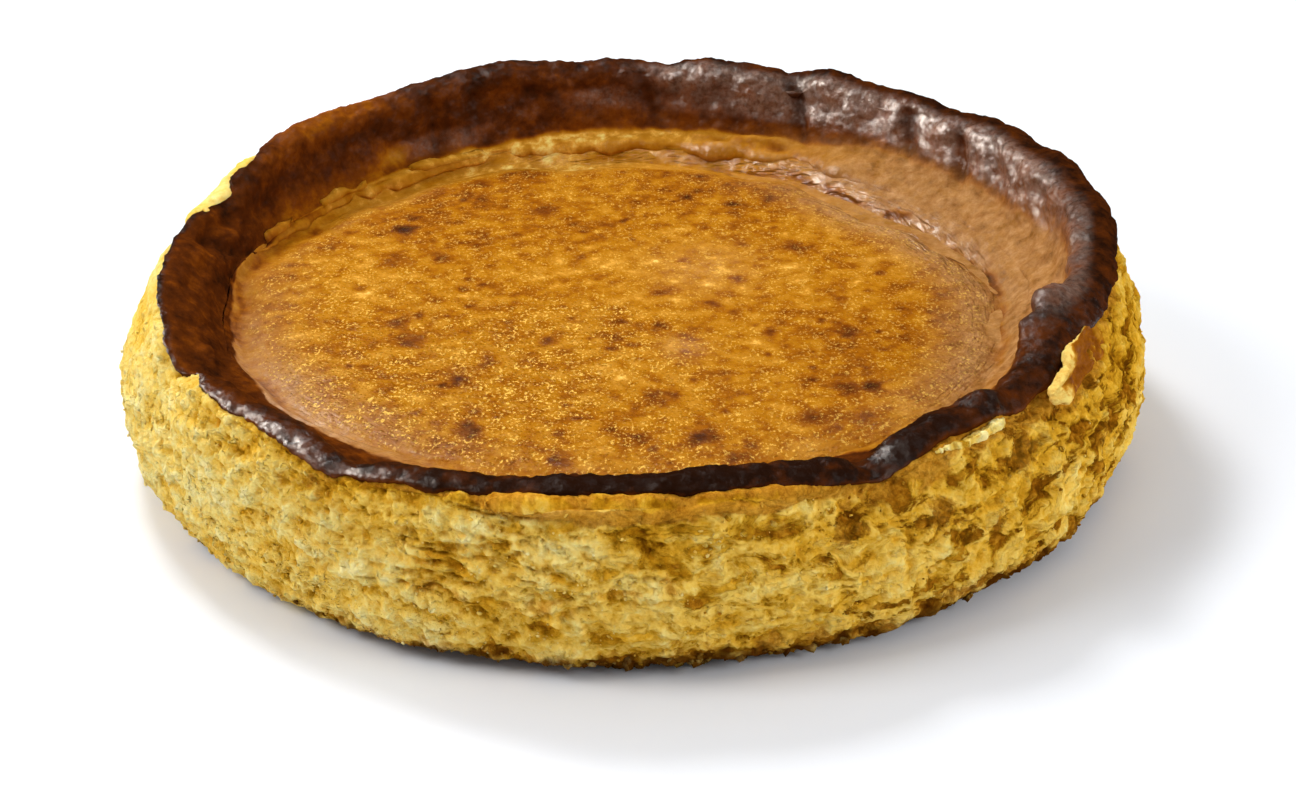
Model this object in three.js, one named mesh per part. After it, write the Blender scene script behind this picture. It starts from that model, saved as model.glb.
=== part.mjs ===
// A whole Basque cheesecake: one solid with a crumbly, bulging wall, an uneven burnt rim with
// folds and knobs, and a sunken top ringed by a crease.
//
// Millimetres, +Z up, origin at the middle of the base. Angles are in degrees, anticlockwise
// from +X (the cake's right) by +Y (its back).

import * as THREE from "three";

// Driving dimensions of the wall and the sunken top
const BELLY_SHARE = 0.46; // height of the wall's widest part, as a share of the wall's height
const BELLY_FULLNESS = 0.8; // under 1 the wall swells quickly above the base
const BASE_EDGE = 3; // rounding between base and wall
const TOP_HEIGHT = 34; // sunken top at its edge
const TOP_SAG = 1.2; // how much lower its middle lies

// Sizes at eight points round the cake, 45 degrees apart:
//                    right  back-r   back  back-l   left  front-l  front  front-r
const BASE_RADIUS = [122.0, 122.0, 122.0, 122.0, 121.0, 119.5, 121.5, 122.5];
const BELLY_RADIUS = [130.0, 129.0, 129.0, 129.0, 128.5, 126.5, 128.5, 129.5];
const CREST_HEIGHT = [58.0, 59.0, 59.5, 57.0, 50.5, 44.5, 45.5, 48.0];
const CREST_RADIUS = [117.5, 118.5, 118.5, 118.0, 114.0, 117.0, 119.0, 117.5];
const CREST_WIDTH = [7.5, 8.0, 7.0, 6.0, 4.0, 4.5, 4.5, 5.5]; // from crest to inside
const SKIN_DROP = [6.0, 8.0, 9.0, 6.0, 3.0, 4.0, 4.5, 5.0]; // burnt skin down the outside
const INSIDE_HOLLOW = [1.0, 1.0, 0.9, 0.7, 0.1, 0.4, 0.8, 0.8]; // from straight to hollowed
const FOOT_HEIGHT = [41.0, 41.5, 39.0, 37.0, 36.5, 36.5, 36.5, 38.0]; // where the inside ends
const FOOT_RADIUS = [105.0, 103.5, 107.0, 105.5, 103.5, 104.0, 105.0, 104.0];
const CREASE_RADIUS = [95.0, 90.5, 100.5, 102.0, 100.0, 98.0, 98.5, 98.0];

// Cross-section of the rim, the crease and the skin's outer edge
const CREST_ROUND = 2.4; // height of the rounded crest
const CREST_CURVE = { in: 0.6, down: 0.25 }; // a point on it, as shares of its width and height
const SHOULDER = 3.5; // from the crest out to the top of the wall
const SKIN_PROUD = 1.1; // how far the skin's edge stands out from the crumb
const SKIN_CURVE = [ // from that edge to the crest, as shares of the way in and up
  [0, 0.25],
  [0.45, 0.75],
  [1, 1],
];
const CREASE_DEPTH = 1.6;
const CREASE_WIDTH = 3;
const CREASE_BANK = 1.6; // height of the bank outside the crease

// Folds pinch the rim: it dips, and its inside is tucked outwards in a groove.
const FOLDS = [
  { angle: 44, width: 2.6, dip: 0.2, tuck: 2.0 },
  { angle: 51, width: 2.6, dip: 0.4, tuck: 2.4 },
  { angle: 65, width: 2.6, dip: 1.6, tuck: 2.8 },
  { angle: 85, width: 2.6, dip: 0.7, tuck: 1.2 },
  { angle: 127, width: 3.0, dip: 1.2, tuck: 1.6 },
  { angle: 172, width: 3.2, dip: 4.2, tuck: 3.0 },
  { angle: 209, width: 2.8, dip: 3.6, tuck: 1.5 },
  { angle: 238, width: 3.0, dip: 2.0, tuck: 1.0 },
  { angle: 297, width: 3.0, dip: 4.2, tuck: 1.0 },
  { angle: 317, width: 2.8, dip: 1.8, tuck: 1.0 },
];

// Knobs swell the rim: it rises, and leans in over the top, its inside more than its crest.
const LEAN_SHARE = { crest: 0.5, inside: 0.7, foot: 0.6 };
const KNOBS = [
  { angle: 14, width: 9, rise: 0.8, lean: 1.0 },
  { angle: 106, width: 6, rise: 1.4, lean: 0.0 },
  { angle: 191, width: 8, rise: 0.8, lean: 0.5 },
  { angle: 228, width: 7, rise: 0.8, lean: 1.5 },
  { angle: 272, width: 12, rise: 0.6, lean: 0.5 },
  { angle: 305, width: 6, rise: 0.6, lean: 0.5 },
  { angle: 331, width: 6, rise: 1.4, lean: 3.2 },
];

// Tears bare the crumb: the rim's outer half is gone, or a flake of crumb stands off the wall.
const TORN_PATCH = { angle: 162, width: 7, dip: 5 };
const FLAKES = [
  { angle: 322, width: 4.0, height: 45, thick: 4.0, proud: 3.2 },
  { angle: 308, width: 6.0, height: 43, thick: 2.5, proud: 1.8 },
  { angle: 270, width: 14.0, height: 38, thick: 2.2, proud: 1.6 },
  { angle: 247, width: 9.0, height: 37, thick: 2.2, proud: 1.8 },
  { angle: 226, width: 7.0, height: 36, thick: 3.0, proud: 1.4 },
];

// Unevenness: slow waves round the cake, and crags of crumb on the wall
const OUT_OF_ROUND = 0.9;
const ROUND_WAVES = [
  { count: 2, size: 1.0, phase: 20 },
  { count: 3, size: 0.5, phase: 75 },
];
const RIM_WAVE = 0.45;
const RIM_WAVES = [
  { count: 7, size: 1.0, phase: 0 },
  { count: 13, size: 0.8, phase: 50 },
  { count: 23, size: 0.6, phase: 110 },
];
const CREASE_WAVE = 0.9;
const TOP_WAVE = 0.35;
const CRAG = 0.75;
const CRAG_SEED = 7;

// Fineness of the surface
const SECTORS = 144;
const WALL_RINGS = 10;
const INSIDE_RINGS = 5;
const RAMP_RINGS = 2;
const TOP_RINGS = [0.92, 0.72, 0.48, 0.24]; // shares of the crease's radius
const BASE_RINGS = [0.5, 0.9]; // shares of the base's radius

const TURN = 360;
const { degToRad, lerp } = THREE.MathUtils;

// Sum of waves round the cake
const ripple = (waves, angle) =>
  waves.reduce((sum, w) => sum + w.size * Math.sin(degToRad(w.count * angle + w.phase)), 0);

// The value at an angle, from values spaced evenly round the cake, along a smooth closed curve
function around(values, angle) {
  const count = values.length;
  const place = ((angle / TURN) * count + count) % count;
  const k = Math.floor(place);
  const t = place - k;
  const [a, b, c, d] = [-1, 0, 1, 2].map((step) => values[(k + step + count) % count]);
  const slopeB = (c - a) / 2;
  const slopeC = (d - b) / 2;
  return (
    b + t * (slopeB + t * (3 * (c - b) - 2 * slopeB - slopeC + t * (slopeB + slopeC - 2 * (c - b))))
  );
}

// A bell over the angle: 1 at the feature's middle, near 0 past two widths
function bell(angle, feature) {
  const off = ((((angle - feature.angle) % TURN) + 1.5 * TURN) % TURN) - TURN / 2;
  return Math.exp(-((off / feature.width) ** 2));
}

const total = (features, size, angle) =>
  features.reduce((sum, feature) => sum + feature[size] * bell(angle, feature), 0);

// Repeatable random numbers from -1 to 1
function* randomNumbers(seed) {
  let state = seed;
  while (true) {
    state = (state + 0x6d2b79f5) | 0;
    let mixed = Math.imul(state ^ (state >>> 15), state | 1);
    mixed ^= mixed + Math.imul(mixed ^ (mixed >>> 7), mixed | 61);
    yield ((mixed ^ (mixed >>> 14)) >>> 0) / 2 ** 31 - 1;
  }
}

// Named sizes of one sector of the cake
function sector(angle) {
  const wave = ripple(RIM_WAVES, angle);
  const round = OUT_OF_ROUND * ripple(ROUND_WAVES, angle);
  const tear = TORN_PATCH.dip * bell(angle, TORN_PATCH);
  const lean = total(KNOBS, "lean", angle);
  const crestHeight =
    around(CREST_HEIGHT, angle) +
    RIM_WAVE * wave +
    total(KNOBS, "rise", angle) -
    total(FOLDS, "dip", angle) -
    tear;
  return {
    angle,
    lean,
    tuck: total(FOLDS, "tuck", angle),
    wave,
    baseRadius: around(BASE_RADIUS, angle) + round,
    bellyRadius: around(BELLY_RADIUS, angle) + round,
    crestHeight,
    crestRadius:
      around(CREST_RADIUS, angle) + round + 0.5 * RIM_WAVE * wave - LEAN_SHARE.crest * lean,
    crestWidth: around(CREST_WIDTH, angle),
    insideHollow: around(INSIDE_HOLLOW, angle),
    footHeight: around(FOOT_HEIGHT, angle),
    footRadius: around(FOOT_RADIUS, angle) + round - LEAN_SHARE.foot * lean,
    creaseRadius: around(CREASE_RADIUS, angle) + CREASE_WAVE * wave,
    skinHeight: crestHeight - around(SKIN_DROP, angle),
  };
}

// Radius of the bulging wall at a share of its height
function wallRadius(s, share) {
  const rise = share / BELLY_SHARE;
  const fall = (share - BELLY_SHARE) / (1 - BELLY_SHARE);
  return share < BELLY_SHARE
    ? lerp(s.baseRadius, s.bellyRadius, Math.sin((rise * Math.PI) / 2) ** BELLY_FULLNESS)
    : lerp(s.bellyRadius, s.crestRadius + SHOULDER, 1 - Math.cos((fall * Math.PI) / 2));
}

// Flakes of crumb that stand off the wall at a height
const flakeOut = (s, height) =>
  FLAKES.reduce((sum, f) => {
    const up = (height - f.height) / f.thick;
    return sum + f.proud * bell(s.angle, f) * Math.exp(-(up * up));
  }, 0);

// Profile of one sector as [radius, height], from the middle of the base, out over the wall and
// the rim, to the middle of the sunken top
function profile(angle) {
  const s = sector(angle);
  const points = [[0, 0]];
  for (const share of BASE_RINGS) points.push([share * s.baseRadius, 0]);
  points.push([s.baseRadius - BASE_EDGE, 0]);

  // crumbly wall
  for (let k = 0; k <= WALL_RINGS; k++) {
    const height = lerp(BASE_EDGE, s.skinHeight, k / WALL_RINGS);
    points.push([wallRadius(s, height / s.skinHeight) + flakeOut(s, height), height]);
  }

  // edge of the burnt skin, and the rounded crest
  const skinRadius = wallRadius(s, 1) + SKIN_PROUD;
  for (const [inward, up] of SKIN_CURVE)
    points.push([
      lerp(skinRadius, s.crestRadius, inward),
      lerp(s.skinHeight, s.crestHeight, up),
    ]);
  const turnRadius = s.crestRadius - s.crestWidth - LEAN_SHARE.inside * s.lean + s.tuck;
  const turnHeight = s.crestHeight - CREST_ROUND;
  points.push([
    lerp(s.crestRadius, turnRadius, CREST_CURVE.in),
    lerp(s.crestHeight, turnHeight, CREST_CURVE.down),
  ]);

  // inside of the rim: a slope, or steep at the top and hollowed out towards its foot
  for (let k = 0; k <= INSIDE_RINGS; k++) {
    const down = k / INSIDE_RINGS;
    const quarter = (down * Math.PI) / 2;
    points.push([
      lerp(turnRadius, s.footRadius, lerp(down, 1 - Math.cos(quarter), s.insideHollow)),
      lerp(turnHeight, s.footHeight, lerp(down, Math.sin(quarter), s.insideHollow)),
    ]);
  }

  // ramp down to the crease, and the crease
  const topHeight = (share) =>
    TOP_HEIGHT - TOP_SAG * (1 - share ** 2) + TOP_WAVE * s.wave * share ** 3;
  const bank = [s.creaseRadius + CREASE_WIDTH, topHeight(1) + CREASE_BANK];
  for (let k = 1; k < RAMP_RINGS; k++)
    points.push([
      lerp(s.footRadius, bank[0], k / RAMP_RINGS),
      lerp(s.footHeight, bank[1], k / RAMP_RINGS),
    ]);
  points.push(bank);
  points.push([s.creaseRadius, topHeight(1) - CREASE_DEPTH]);

  // sunken top
  for (const share of TOP_RINGS) points.push([share * s.creaseRadius, topHeight(share)]);
  points.push([0, topHeight(0)]);
  return points;
}

// The whole cake: a turned blank whose rings are then moved to each sector's own profile
function cheesecake() {
  const blank = profile(0).map(([radius, height]) => new THREE.Vector2(radius, height));
  const geometry = new THREE.LatheGeometry(blank, SECTORS);
  const position = geometry.getAttribute("position");
  const firstWallRing = BASE_RINGS.length + 3;
  const random = randomNumbers(CRAG_SEED);
  const profiles = [];
  for (let i = 0; i < SECTORS; i++) {
    const points = profile((i * TURN) / SECTORS);
    for (let k = firstWallRing; k < firstWallRing + WALL_RINGS; k++)
      points[k][0] += CRAG * random.next().value;
    profiles.push(points);
  }
  for (let i = 0; i <= SECTORS; i++) {
    const turn = degToRad((i * TURN) / SECTORS);
    profiles[i % SECTORS].forEach(([radius, height], k) =>
      position.setXYZ(
        i * blank.length + k,
        radius * Math.cos(turn),
        radius * Math.sin(turn),
        height,
      ),
    );
  }
  geometry.computeVertexNormals();
  const material = new THREE.MeshStandardMaterial({
    color: 0xc8963c,
    roughness: 0.6,
    metalness: 0,
  });
  const mesh = new THREE.Mesh(geometry, material);
  mesh.name = "cheesecake";
  return mesh;
}

const cake = new THREE.Group();
cake.add(cheesecake());

export default cake;
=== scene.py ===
"""A whole Basque cheesecake: crumbly yellow side, burnt folded rim and a sunken caramel top."""

import math

import bpy
import numpy as np
from bpy.props import FloatProperty, FloatVectorProperty, IntProperty, PointerProperty
from mathutils import Matrix, Vector, noise


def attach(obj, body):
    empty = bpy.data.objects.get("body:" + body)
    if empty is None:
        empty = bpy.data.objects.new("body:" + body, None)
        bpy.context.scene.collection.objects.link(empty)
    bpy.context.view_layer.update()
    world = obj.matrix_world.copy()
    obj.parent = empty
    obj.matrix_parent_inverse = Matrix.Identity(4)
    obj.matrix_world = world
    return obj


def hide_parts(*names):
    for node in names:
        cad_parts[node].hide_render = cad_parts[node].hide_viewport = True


bl_info = {
    "name": "Basque cheesecake",
    "version": (1, 0, 0),
    "blender": (4, 5, 0),
    "location": "3D View > Sidebar > Cheesecake",
    "description": "Dresses the cake's solid with crumb, burnt skin and a caramel top",
    "category": "Object",
}

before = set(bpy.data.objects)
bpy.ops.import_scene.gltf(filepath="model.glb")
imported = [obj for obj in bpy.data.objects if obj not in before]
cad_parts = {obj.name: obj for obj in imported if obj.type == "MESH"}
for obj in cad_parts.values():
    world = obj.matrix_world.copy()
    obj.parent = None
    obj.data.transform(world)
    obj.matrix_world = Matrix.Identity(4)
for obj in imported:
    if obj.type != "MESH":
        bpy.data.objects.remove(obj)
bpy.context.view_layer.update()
CAKE = "cheesecake"
MM = 0.001
TURN = 360.0
WARP_SEED = 7  # start of the noise that moves places, the same for every run
NEAR_AXIS = 1.0  # mm; vertices nearer to the axis are the solid's two poles
NOISE_RING = 100.0  # mm, radius of the circle on which noise is read round the cake

# Rings of the solid's cross-section, counted from the base's middle out and over to the top's
BASE_IN, BASE_EDGE, WALL_FOOT, WALL_TOP = 1, 2, 3, 13
SKIN_EDGE, CREST = 14, 16
CREASE, TOP_INNER = 26, 30
SEAM = 24.4  # where the rim's skin gives way to the sunken top's, on the slope above the crease
SEAM_DEPTH = 6  # mm that both reach down inside the crumb there
SECTORS = 144
CORE = (110.0, 25.0)  # a point inside the cross-section, from which all of it can be seen


# Reading the solid

def cake_profiles():
    """Radius and height in mm of the solid's rings, as an array of sectors x rings x 2."""
    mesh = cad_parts[CAKE].data
    points = np.empty(len(mesh.vertices) * 3)
    mesh.vertices.foreach_get("co", points)
    points = np.unique((points.reshape(-1, 3) / MM).round(3), axis=0)
    radius = np.hypot(points[:, 0], points[:, 1])
    on_ring = radius > NEAR_AXIS
    points, radius = points[on_ring], radius[on_ring]
    angle = np.degrees(np.arctan2(points[:, 1], points[:, 0]))
    sector = np.round(angle / TURN * SECTORS).astype(int) % SECTORS
    from_core = np.arctan2(points[:, 2] - CORE[1], radius - CORE[0])
    along = (from_core - math.atan2(-CORE[1], -CORE[0])) % math.tau
    order = np.lexsort((along, sector))
    rings = np.stack([radius, points[:, 2]], axis=1)[order].reshape(SECTORS, -1, 2)
    # the skin's edge overhangs the wall's top, so these two are told apart by their height
    turned = rings[:, WALL_TOP, 1] > rings[:, SKIN_EDGE, 1]
    rings[np.ix_(turned, [WALL_TOP, SKIN_EDGE])] = rings[np.ix_(turned, [SKIN_EDGE, WALL_TOP])]
    return rings


PROFILES = cake_profiles()


def catmull(t):
    """Weights of four neighbours for a smooth curve through the middle two."""
    return (
        0.5 * (-t + 2 * t**2 - t**3),
        0.5 * (2 - 5 * t**2 + 3 * t**3),
        0.5 * (t + 4 * t**2 - 3 * t**3),
        0.5 * (-(t**2) + t**3),
    )


def on_cake(angle, station):
    """Radius and height in mm of the solid's surface at angles in degrees and ring stations."""
    place = angle / TURN * SECTORS
    sector = np.floor(place).astype(int)
    last = PROFILES.shape[1] - 1
    ring = np.clip(np.floor(station).astype(int), 0, last - 1)
    found = 0
    for i, wide in enumerate(catmull(place - sector)):
        for k, high in enumerate(catmull(station - ring)):
            corner = PROFILES[(sector + i - 1) % SECTORS, np.clip(ring + k - 1, 0, last)]
            found = found + (wide * high)[:, None] * corner
    return found[:, 0], found[:, 1]


def station_at(angle, height, steps=131):
    """Station of the side or the rim's outside at heights in mm, to the nearest of some steps."""
    tries = np.linspace(WALL_FOOT, CREST, steps)
    heights = np.stack([on_cake(angle, angle * 0 + each)[1] for each in tries])
    return tries[np.argmin(np.abs(heights - height), axis=0)]


# Shapes round the cake

def around(values, angle):
    """The value at an angle, from values spaced evenly round the cake, along a smooth curve."""
    place = np.asarray(angle) / TURN * len(values)
    start = np.floor(place).astype(int)
    table = np.asarray(values, float)
    weights = catmull(place - start)
    return sum(w * table[(start + i - 1) % len(values)] for i, w in enumerate(weights))


def hill(value, middle, width):
    """1 at the middle value, near 0 past two widths."""
    return np.exp(-(((value - middle) / width) ** 2))


def bell(angle, middle, width):
    """1 at the middle angle, near 0 past two widths."""
    off = (np.asarray(angle) - middle + TURN / 2) % TURN - TURN / 2
    return hill(off, 0.0, width)


def ramp(value, low, high):
    """0 below low, 1 above high, smooth between; the other way round where low is above high."""
    t = np.clip((np.asarray(value) - low) / (high - low), 0, 1)
    return t * t * (3 - 2 * t)


def plateau(angle, middle, width, low=0.2, high=0.8):
    """A bell with a flat top: 0 where the bell is below low, 1 where it is above high."""
    return ramp(bell(angle, middle, width), low, high)


def band(value, start, full, fade, end):
    """Rises from start to full, and falls from fade to end."""
    return ramp(value, start, full) * ramp(value, end, fade)


def lumps(points, size, octaves=3, seed=0.0, smooth=1.0):
    """Fractal noise of about -1 to 1; size in mm is the largest lump's width. Less smooth is rougher."""
    scaled = points / MM / size + seed
    return np.array([noise.fractal(p, smooth, 2.0, octaves) for p in scaled.tolist()])


def warped(points, size, far, seed=0.0):
    """Places moved by noise, so that lumps read at them look torn; size and far in mm."""
    noise.seed_set(WARP_SEED)
    scaled = points / MM / size + seed
    return points + far * MM * np.array([noise.noise_vector(p) for p in scaled.tolist()])


def in_rings(angle, radius, height):
    """Points from angles in degrees, radii and heights."""
    turn = np.radians(angle)
    return np.stack([radius * np.cos(turn), radius * np.sin(turn), height], axis=1)


def round_points(angle, across, drawn_out):
    """Places for noise whose lumps are drawn out round the cake; across is a height or radius in mm."""
    return in_rings(angle, NOISE_RING / drawn_out, across) * MM


def pits(points, size, seed=0.0):
    """Distance from the nearest of scattered points, 0 at a point and about 1 between them."""
    scaled = points / MM / size + seed
    return np.array([noise.voronoi(p)[0][0] for p in scaled.tolist()])


def stepped(value, steps, soft):
    """A smooth value made into steps, as torn layers are; soft is the width of a step's edge."""
    level = np.floor(value * steps)
    return (level + ramp(value * steps - level, 0.5 - soft, 0.5 + soft)) / steps


def patches(angle, height, places):
    """Sum of soft patches on the side, each an angle, a height in mm, two half widths and a strength."""
    found = 0
    for middle, level, wide, high, strength in places:
        found = found + strength * bell(angle, middle, wide) * hill(height, level, high)
    return found


# Meshes

def mesh_points(piece):
    points = np.empty(len(piece.data.vertices) * 3)
    piece.data.vertices.foreach_get("co", points)
    return points.reshape(-1, 3)


def set_points(piece, points):
    piece.data.vertices.foreach_set("co", np.ascontiguousarray(points, float).ravel())
    piece.data.update()


def mesh_normals(piece):
    normals = np.empty(len(piece.data.vertices) * 3)
    piece.data.vertex_normals.foreach_get("vector", normals)
    return normals.reshape(-1, 3)


def angles_of(points):
    return np.degrees(np.arctan2(points[:, 1], points[:, 0])) % TURN


def paint(piece, name, values):
    """Stores one number per vertex, for the materials."""
    attribute = piece.data.attributes.get(name)
    attribute = attribute or piece.data.attributes.new(name, "FLOAT", "POINT")
    attribute.data.foreach_set("value", np.ascontiguousarray(values, np.float32))


def paint_places(piece, name, points):
    """Stores a place per vertex, for noise that is drawn out round the cake."""
    attribute = piece.data.attributes.new(name, "FLOAT_VECTOR", "POINT")
    attribute.data.foreach_set("vector", np.ascontiguousarray(points, np.float32).ravel())


def painted(piece, name):
    values = np.empty(len(piece.data.vertices), np.float32)
    piece.data.attributes[name].data.foreach_get("value", values)
    return values.astype(float)


def select_only(piece):
    bpy.ops.object.select_all(action="DESELECT")
    piece.select_set(True)
    bpy.context.view_layer.objects.active = piece


def select_open_edges():
    """In edit mode, selects the edges with one face."""
    bpy.ops.mesh.select_mode(type="EDGE")
    bpy.ops.mesh.select_all(action="DESELECT")
    bpy.ops.mesh.select_non_manifold(use_wire=False, use_multi_face=False, use_verts=False)


def turn_faces_out():
    """In edit mode, turns all faces outwards."""
    bpy.ops.mesh.select_all(action="SELECT")
    bpy.ops.mesh.normals_make_consistent(inside=False)


def close_ends(piece):
    """Fills each open end with a face and turns all faces outwards."""
    select_only(piece)
    bpy.ops.object.mode_set(mode="EDIT")
    select_open_edges()
    bpy.ops.mesh.edge_face_add()
    turn_faces_out()
    bpy.ops.object.mode_set(mode="OBJECT")


def ring_tube(name, sectors, rows, closed):
    """A tube of rings, extruded from a circle one row up at a time. A closed one is bridged from
    its last ring to its first, like a tyre."""
    bpy.ops.object.select_all(action="DESELECT")
    bpy.ops.mesh.primitive_circle_add(vertices=sectors, radius=1)
    piece = bpy.context.object
    piece.name = piece.data.name = name
    bpy.ops.object.mode_set(mode="EDIT")
    for _ in range(rows - 1):
        bpy.ops.mesh.extrude_region_move(TRANSFORM_OT_translate={"value": (0, 0, 1)})
    if closed:
        select_open_edges()
        bpy.ops.mesh.bridge_edge_loops()
    bpy.ops.object.mode_set(mode="OBJECT")
    points = mesh_points(piece)
    return piece, angles_of(points), np.round(points[:, 2]).astype(int)


def set_rings(piece, angle, radius, height):
    """Puts each vertex at its angle, radius and height (mm), and turns the faces outwards."""
    set_points(piece, in_rings(angle, radius, height) * MM)
    select_only(piece)
    bpy.ops.object.mode_set(mode="EDIT")
    turn_faces_out()
    bpy.ops.object.mode_set(mode="OBJECT")


def subdivide(piece, levels):
    select_only(piece)
    modifier = piece.modifiers.new("Rounding", "SUBSURF")
    modifier.levels = modifier.render_levels = levels
    bpy.ops.object.modifier_apply(modifier=modifier.name)


def finish_piece(piece, material, replaced=False):
    """Smooth shading, material and place in the frame."""
    select_only(piece)
    bpy.ops.object.shade_smooth()
    piece.data.materials.clear()
    piece.data.materials.append(material)
    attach(piece, "root")
    if replaced:
        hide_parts(CAKE)


# Materials

class Nodes:
    """Builds the node tree of a material or of the world from short calls."""

    def __init__(self, owner, shader="Principled BSDF"):
        owner.use_nodes = True
        self.owner = owner
        self.tree = owner.node_tree
        self.shader = self.tree.nodes[shader]
        self.coordinates = self.add("ShaderNodeTexCoord").outputs
        self.place = self.coordinates["Object"]

    def add(self, kind, **settings):
        made = self.tree.nodes.new(kind)
        for key, value in settings.items():
            setattr(made, key, value)
        return made

    def link(self, value, socket):
        """Links an output, or sets a plain number or colour."""
        if isinstance(value, bpy.types.NodeSocket):
            self.tree.links.new(value, socket)
        else:
            socket.default_value = value

    def attribute(self, name):
        return self.add("ShaderNodeAttribute", attribute_name=name).outputs["Fac"]

    def places(self, name):
        """Places stored on the mesh, for noise to read."""
        return self.add("ShaderNodeAttribute", attribute_name=name).outputs["Vector"]

    def math(self, operation, a, b=0.0):
        made = self.add("ShaderNodeMath", operation=operation)
        self.link(a, made.inputs[0])
        self.link(b, made.inputs[1])
        return made.outputs[0]

    def plus(self, a, b):
        return self.math("ADD", a, b)

    def minus(self, a, b):
        return self.math("SUBTRACT", a, b)

    def times(self, a, b):
        return self.math("MULTIPLY", a, b)

    def swing(self, value, wide):
        """A share of 0 to 1 made into a swing about 0 of some width."""
        return self.times(self.minus(value, 0.5), wide)

    def between(self, share, a, b):
        """A number that goes from a to b with the share."""
        return self.plus(a, self.times(self.minus(b, a), share))

    def noise(self, size, detail=3.0, rough=0.55, distortion=0.0, place=None):
        """Noise of 0 to 1 whose largest lumps are about size metres wide."""
        made = self.add("ShaderNodeTexNoise")
        self.link(place or self.place, made.inputs["Vector"])
        made.inputs["Scale"].default_value = 1 / size
        made.inputs["Detail"].default_value = detail
        made.inputs["Roughness"].default_value = rough
        made.inputs["Distortion"].default_value = distortion
        return made.outputs["Fac"]

    def cells(self, size):
        """Distance to scattered points, about size metres apart."""
        made = self.add("ShaderNodeTexVoronoi")
        self.link(self.place, made.inputs["Vector"])
        made.inputs["Scale"].default_value = 1 / size
        return made.outputs["Distance"]

    def range(self, value, low, high, to_low=0.0, to_high=1.0, kind="SMOOTHSTEP"):
        made = self.add("ShaderNodeMapRange", interpolation_type=kind)
        self.link(value, made.inputs["Value"])
        for socket, number in zip(made.inputs[1:5], (low, high, to_low, to_high)):
            socket.default_value = number
        return made.outputs["Result"]

    def colours(self, value, stops):
        """Colour ramp from (place, colour) pairs."""
        made = self.add("ShaderNodeValToRGB")
        elements = made.color_ramp.elements
        while len(elements) < len(stops):
            elements.new(0.5)
        for element, (place, colour) in zip(elements, stops):
            element.position = place
            element.color = (*colour, 1.0)
        self.link(value, made.inputs["Fac"])
        return made.outputs["Color"]

    def mix(self, share, a, b):
        made = self.add("ShaderNodeMix", data_type="RGBA")
        self.link(share, made.inputs["Factor"])
        for value, socket in ((a, made.inputs[6]), (b, made.inputs[7])):
            value = (*value, 1.0) if isinstance(value, tuple) else value
            self.link(value, socket)
        return made.outputs[2]

    def bump(self, height, depth, below=None):
        """Surface relief of some metres' depth, on top of another."""
        made = self.add("ShaderNodeBump")
        made.inputs["Distance"].default_value = depth
        self.link(height, made.inputs["Height"])
        if below is not None:
            self.link(below, made.inputs["Normal"])
        return made.outputs["Normal"]

    def finish(self, **sockets):
        """Links or sets the shader's sockets."""
        for name, value in sockets.items():
            self.link(value, self.shader.inputs[name.replace("_", " ")])
        return self.owner


PAINTED_SHEEN = (0.50, 0.34, 0.26)  # painted sheen: the dull greyish reflection on the rim's satin skin
PAINTED_GLINT = (0.95, 0.60, 0.11)  # painted glints: pale golden specks on the sunken top, standing for the glints of tiny blisters
PAINTED_GLINT_WIDTH = 0.68  # of a painted glint, as a share of its depth from front to back
CHARRED = (0.090, 0.025, 0.0015)  # foot of the side


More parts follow.
